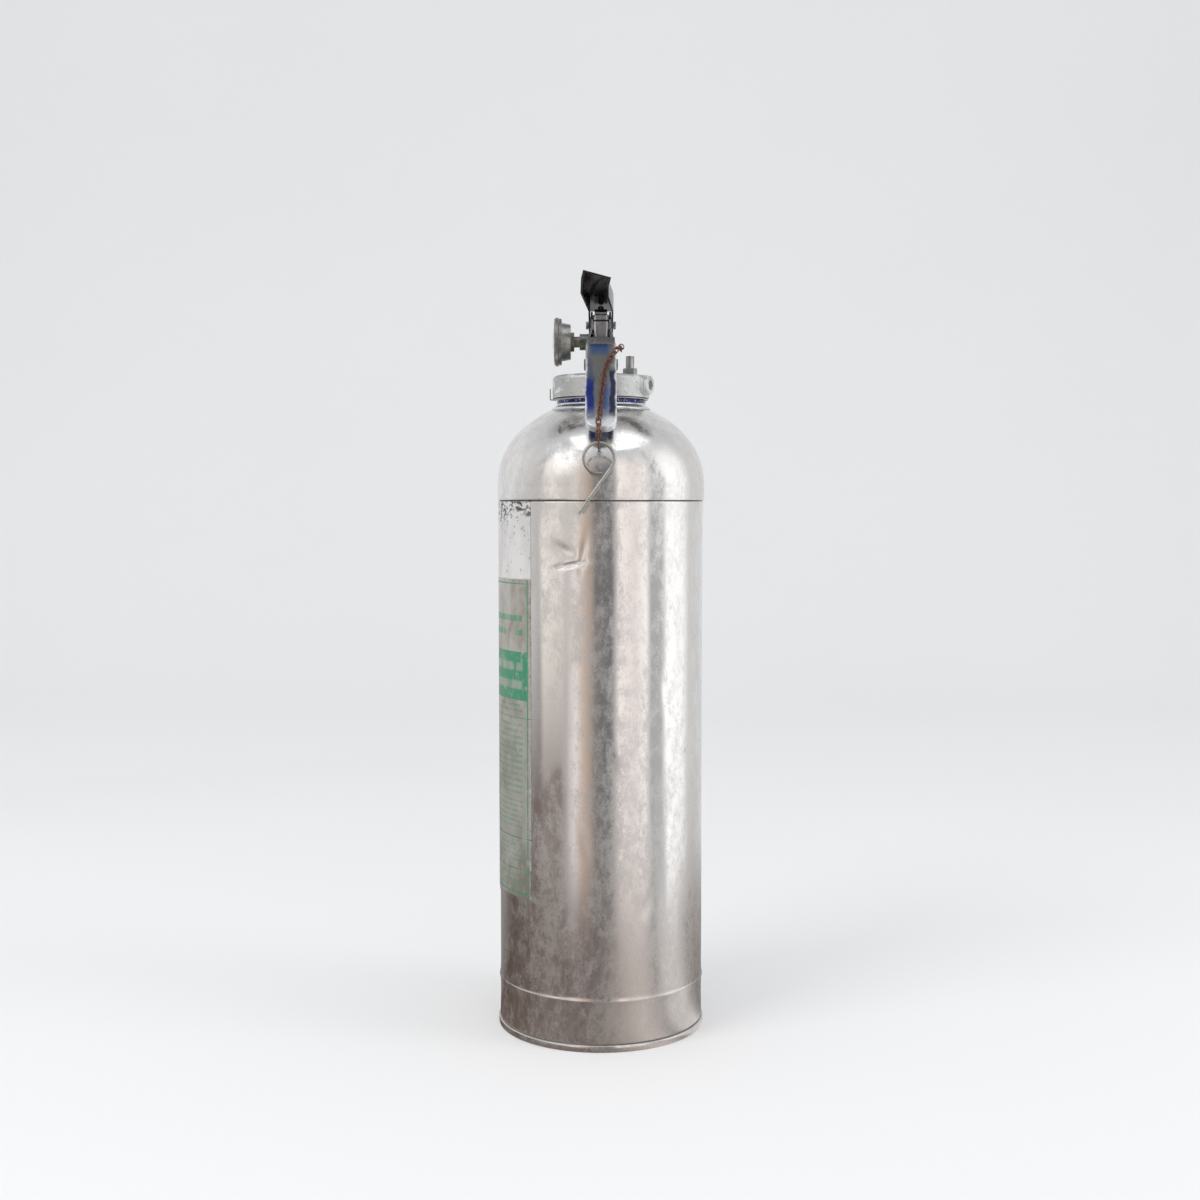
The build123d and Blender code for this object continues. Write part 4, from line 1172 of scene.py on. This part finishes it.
    def neck(self) -> None:
        """The neck ring: weld fillet, a cylinder and a cut thread."""
        top, bore, root, weld = 554.0, 33.0, 38.15, 538.6
        below, hole = weld - 17.0, self.hole_r - 0.05
        fillet = [(5.6, -2.1), (5.1, -0.7), (4.0, 0.3), (1.8, 1.6), (1.4, 2.6), (1.1, 3.4)]
        points = [(bore, below), (hole, below), (hole, weld + 0.2)]
        points += [(self.hole_r + out, weld + up) for out, up in fillet]
        points += [(root, weld + 3.9), (root, top - 1.2), (root - 1.0, top), (bore, top)]
        ring = Shape().lathe(points, 192).soften(0.25, 2, 50.0)
        ring.piece("neck_core", Body.CYLINDER, Finish.THREAD_CHROME, ["neck_ring"])
        pitch, turns, each = 3.175, 3, 96
        thread, start = Shape(), weld + 5.0
        tooth = [(-0.5, -1.35), (0.62, -0.3), (0.75, 0.0), (0.62, 0.3), (-0.5, 1.35)]
        corners = (Vector(((root + r) * MM, 0.0, (start + z) * MM)) for r, z in tooth)
        outline = thread.edges(thread.outline(corners, closed=True))
        bmesh.ops.contextual_create(thread.bm, geom=outline)
        bmesh.ops.spin(
            thread.bm, geom=[*thread.bm.verts, *thread.bm.edges, *thread.bm.faces], cent=ORIGIN,
            axis=UP, dvec=UP * pitch * MM / each, angle=math.tau * turns, steps=each * turns,
        )
        thread.merge()
        thread.piece("neck_thread", Body.CYLINDER, Finish.THREAD_CHROME)

    def build(self) -> None:
        """Builds every piece of the tank and dresses its CAD nodes."""
        for part in (self.shell, self.dome, self.foot, self.neck):
            part()
        dress(Finish.POLISHED_STEEL, "bottom_head")
        dress(Finish.LABEL_FOIL, "instruction_label")
        dress(Finish.PANEL_FILM, "service_panel")


def dress(finish: Finish, *nodes: str) -> None:
    """Gives carried-over CAD nodes their finish.

    Args:
        finish: The finish for all their slots.
        nodes: Names of the CAD nodes.
    """
    for node in nodes:
        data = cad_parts[node].data
        if not data.materials:
            data.materials.append(finish.material())
        for index in range(len(data.materials)):
            data.materials[index] = finish.material()
        LOG.info("dressed %s", node)


# --- head
@dataclass
class ScrewedHead:
    """Everything that unscrews with the cap and keeps its CAD shape."""

    nodes: Sequence[tuple[Finish, Sequence[str]]] = (
        (Finish.SEAL_RUBBER, ("collar_gasket", "stem_packing", "poppet_seal")),
        (Finish.CAST_ALLOY, ("head_cap", "outlet_nipple")),
        (Finish.VALVE_CHROME, ("valve_body",)),
        (Finish.CHROME_PLATE, ("packing_cap",)),
        (Finish.STEEL_FITTING, ("valve_stem", "valve_spring", "siphon_tube")),
        (Finish.STEEL_FITTING, ("air_valve_body", "air_valve_nut", "gauge_case")),
        (Finish.STEEL_FITTING, ("handle_rivets", "lever_pin")),
        (Finish.BRASS_FITTING, ("poppet", "siphon_adapter", "siphon_strainer")),
        (Finish.BRASS_FITTING, ("air_valve_core", "gauge_stem", "bourdon_tube")),
        (Finish.GAUGE_NICKEL, ("gauge_bezel",)),
        (Finish.GAUGE_GLASS, ("gauge_lens",)),
        (Finish.DIAL_FACE, ("gauge_dial",)),
        (Finish.POINTER_PAINT, ("gauge_pointer",)),
        (Finish.GRIP_CHROME, ("carry_handle",)),
        (Finish.BLACK_ENAMEL, ("lever",)),
        (Finish.PLATED_WIRE, ("chain_eye", "pull_pin", "seal_wire")),
        (Finish.RUSTY_WIRE, ("handle_chain", "hanging_chain")),
    )

    def build(self) -> None:
        """Dresses the head's CAD nodes."""
        for finish, names in self.nodes:
            dress(finish, *names)


@dataclass
class PivotWashers:
    """Two spacers on the lever's pin, between the lever and the handle's cheeks."""

    pivot: Triple = (0.0, 0.012, 0.611)
    hole: float = 2.6
    rim: float = 7.5
    inner: float = 8.65
    outer: float = 9.05

    def build(self) -> None:
        """Turns each washer about the pin and rounds its rim."""
        for side, name in ((1, "right"), (-1, "left")):
            inner = [(self.hole, self.inner), (self.rim, self.inner)]
            outer = [(self.rim, self.outer), (self.hole, self.outer)]
            shape = Shape().lathe(inner + outer, 48).soften(0.08, 2)
            turn = Matrix.Rotation(side * math.pi / 2, 4, "Y")
            shape.move(Matrix.Translation(self.pivot) @ turn)
            shape.piece(f"pivot_washer_{name}", Body.HEAD, Finish.STEEL_FITTING)


# --- studio
@dataclass
class Studio:
    """Plain pale floor and backdrop, soft light, and the camera."""

    eye: Triple = (-0.0008, -1.361, 0.460)
    tilt_down: float = 3.70
    lens: float = 46.8
    aim: Triple = (0.0, 0.0, 0.3)
    wall_y: float = 3.6
    sweep_r: float = 1.6
    sky: Colour = (0.90, 0.905, 0.92)
    ceiling: Colour = (0.62, 0.64, 0.67)
    paper_low: Colour = (0.83, 0.835, 0.84)
    paper_high: Colour = (0.86, 0.862, 0.865)
    # Bearing in degrees from the front, then red, green and blue.
    bands: Sequence[Band] = (
        (-180, 0.78, 0.79, 0.81), (-112, 0.84, 0.84, 0.85), (-84, 0.7, 0.69, 0.68),
        (-68, 0.5, 0.49, 0.48), (-62, 0.98, 0.93, 0.88), (-43, 0.86, 0.8, 0.75),
        (-38, 0.62, 0.59, 0.57), (-27, 0.88, 0.82, 0.8), (-19, 0.66, 0.52, 0.43),
        (-10, 0.42, 0.34, 0.29), (-6, 0.2, 0.19, 0.19), (11, 0.17, 0.17, 0.17),
        (15, 0.5, 0.48, 0.47), (19, 1.08, 1, 0.97), (36, 0.94, 0.86, 0.84),
        (50, 1.12, 1.08, 1.05), (56, 0.46, 0.46, 0.46), (70, 0.5, 0.5, 0.5),
        (77, 1.32, 1.32, 1.32), (101, 1.16, 1.16, 1.16), (113, 0.72, 0.72, 0.72),
        (180, 0.78, 0.79, 0.81),
    )
    table: Sequence[Band] = (
        (-180, 0.36, 0.345, 0.335), (-130, 0.22, 0.2, 0.19), (-112, 0.1, 0.072, 0.062),
        (-67, 0.14, 0.102, 0.088), (-44, 0.18, 0.145, 0.13), (-24, 0.19, 0.155, 0.145),
        (-14, 0.17, 0.137, 0.13), (-5, 0.17, 0.147, 0.135), (5, 0.22, 0.195, 0.185),
        (19, 0.43, 0.38, 0.36), (34, 0.67, 0.61, 0.58), (44, 0.62, 0.56, 0.55),
        (55, 0.33, 0.32, 0.32), (64, 0.76, 0.755, 0.75), (84, 0.82, 0.81, 0.81),
        (96, 0.38, 0.37, 0.37), (110, 0.23, 0.21, 0.2), (140, 0.3, 0.285, 0.275),
        (180, 0.36, 0.345, 0.335),
    )

    def world(self) -> None:
        """Even soft light from all round."""
        made = bpy.data.worlds.new("room")
        bpy.context.scene.world = made
        made.use_nodes = True
        p = Paint(made.node_tree)
        light = p.node("Background", None, {"Color": self.sky, "Strength": 0.98})
        p.node("OutputWorld", None, {"Surface": light})

    def card(self, shape: Shape, name: str, build: Callable[[Paint], Value]) -> None:
        """Makes a glowing card that only reflections see.

        Args:
            shape: Its mesh.
            name: Its name.
            build: Gives the colour it glows in.
        """
        material = shaded(name, lambda p: {"Color": build(p), "Strength": 1.0}, "Emission")
        material.cycles.emission_sampling = "NONE"
        made = add_object(name, shape.mesh(name, material))
        for sense in ("camera", "diffuse", "shadow", "transmission"):
            setattr(made, f"visible_{sense}", False)

    def tent(self) -> None:
        """Upright cards all round, a ceiling, and a dark table top for the steel to mirror."""

        def round_about(p: Paint, bands: Sequence[Band]) -> Wire:
            ramp = p.tree.nodes.new("ShaderNodeValToRGB")
            p.feed(ramp.inputs[0], p.bearing() + 0.5)
            stops = ramp.color_ramp.elements
            for index, (angle, *colour) in enumerate(bands):
                place = angle / 360.0 + 0.5
                stop = stops[index] if index < 2 else stops.new(place)
                stop.position = place
                stop.color = (*colour, 1.0)
            return Wire(p, ramp.outputs[0])

        def on_left(p: Paint) -> Wire:
            return p.band(p.bearing(), -0.088, -0.125)

        def walls(p: Paint) -> Value:
            z = p.xyz[2]
            dusk = p.band(z, 0.05, -0.75) + on_left(p) * p.band(z, 0.34, -0.16) * 0.85
            low = p.mix(dusk, round_about(p, self.bands), round_about(p, self.table))
            return p.mix(p.band(z, 0.9, 2.2), low, self.ceiling)

        wall = Shape().lathe([(1450.0, -1200.0), (1450.0, 2300.0)], 96, closed=False)
        self.card(wall, "tent_wall", walls)

        def overhead(p: Paint) -> Value:
            x, y, _ = p.xyz
            window = p.band(x, 0.25, 0.55) * p.band(y, 0.3, -0.3)
            panel = p.band(x, -0.30, -0.5) * p.band(x, -0.95, -0.75) * p.band(y, -0.1, -0.4)
            blots = p.band(p.noise(2.6, 3.0, 0.6, warp=0.5), 0.42, 0.56)
            dark = p.band(y, -0.05, 0.30) * p.band(p.length(x, y), 1.6, 1.1) * (0.35 + blots * 0.6)
            colour = p.mix(window * 0.95 + panel * 0.8, self.ceiling, (1.7, 1.7, 1.68))
            return p.mix(dark, colour, (0.11, 0.09, 0.085))

        roof = Shape()
        bmesh.ops.create_circle(roof.bm, cap_ends=True, segments=48, radius=1.45)
        self.card(roof.move(Matrix.Translation((0.0, 0.0, 2.3))), "tent_roof", overhead)

        def wood(p: Paint) -> Value:
            x, y, _ = p.xyz
            far = p.band(p.length(x, y), 0.28, 0.90) * (1.0 - on_left(p) * 0.85)
            grain = p.noise(9.0, 4.0, 0.6, (0.4, 2.0, 1.0))
            near = p.mix(grain * 0.15, round_about(p, self.table), (0.24, 0.19, 0.17))
            return p.mix(far * 0.85, near, round_about(p, self.bands))

        table = Shape()
        bmesh.ops.create_grid(table.bm, x_segments=1, y_segments=1, size=1.0)
        place = Matrix.Translation((0.0, -0.2, -0.0006)) @ Matrix.Diagonal((1.1, 0.85, 1.0, 1.0))
        self.card(table.move(place), "table_top", wood)

    def backdrop(self) -> None:
        """One sheet: a level floor that sweeps up into the wall behind."""
        shape = Shape()
        half, near = 14.0, -9.0
        sweep = [(near, 0.0)]
        for turn in steps_between(0.0, math.pi / 2, math.radians(7.5)):
            back, up = 1 - math.sin(turn), 1 - math.cos(turn)
            sweep.append((self.wall_y - self.sweep_r * back, self.sweep_r * up))
        sweep.append((self.wall_y, 5.0))
        geometry = shape.outline(Vector((-half, y, z)) for y, z in sweep)
        out = bmesh.ops.extrude_edge_only(shape.bm, edges=shape.edges(geometry))
        moved = [g for g in out["geom"] if isinstance(g, bmesh.types.BMVert)]
        bmesh.ops.translate(shape.bm, verts=moved, vec=Vector((2 * half, 0.0, 0.0)))
        for face in shape.bm.faces:
            face.normal_update()

        def paper(p: Paint) -> Sockets:
            tone = p.noise(1.3, 3.0, 0.5)
            return {"Base Color": p.mix(tone, self.paper_low, self.paper_high), "Roughness": 0.85}

        sheet = add_object("backdrop", shape.mesh("backdrop", shaded("backdrop_paper", paper)))
        sheet.visible_glossy = False

    def lamp(self, name: str, at: Triple, size: Point, power: float, tint: Colour) -> None:
        """Adds a soft rectangular lamp.

        Args:
            name: Its name.
            at: Where it hangs.
            size: Width and height in metres.
            power: Watts.
            tint: Colour of its light.
        """
        data = bpy.data.lights.new(name, "AREA")
        data.shape = "RECTANGLE"
        data.size, data.size_y = size
        data.energy = power
        data.color = tint
        made = add_object(name, data)
        made.location = at
        made.rotation_euler = (Vector(self.aim) - Vector(at)).to_track_quat("-Z", "Y").to_euler()
        made.visible_camera = False

    def camera(self) -> None:
        """The camera at standing height, looking slightly down."""
        data = bpy.data.cameras.new("camera")
        data.lens = self.lens
        data.sensor_width = 36.0
        data.clip_start, data.clip_end = 0.01, 50.0
        made = add_object("camera", data)
        made.location = self.eye
        made.rotation_euler = (math.radians(90.0 - self.tilt_down), 0.0, 0.0)
        bpy.context.scene.camera = made

    def build(self) -> None:
        """Sets up camera, room and lamps."""
        self.camera()
        self.world()
        self.tent()
        self.backdrop()
        self.lamp("key", (-1.5, -1.3, 1.9), (1.2, 1.2), 18.0, (1.0, 0.99, 0.97))
        self.lamp("fill", (1.9, -0.6, 1.2), (0.8, 1.6), 9.0, (0.97, 0.98, 1.0))
        bpy.context.scene.view_settings.view_transform = "Standard"


def main() -> None:
    """Builds the extinguisher and its studio."""
    logging.basicConfig(level=logging.INFO)
    Studio().build()
    Tank().build()
    ScrewedHead().build()
    PivotWashers().build()


if __name__ == "__main__":
    main()
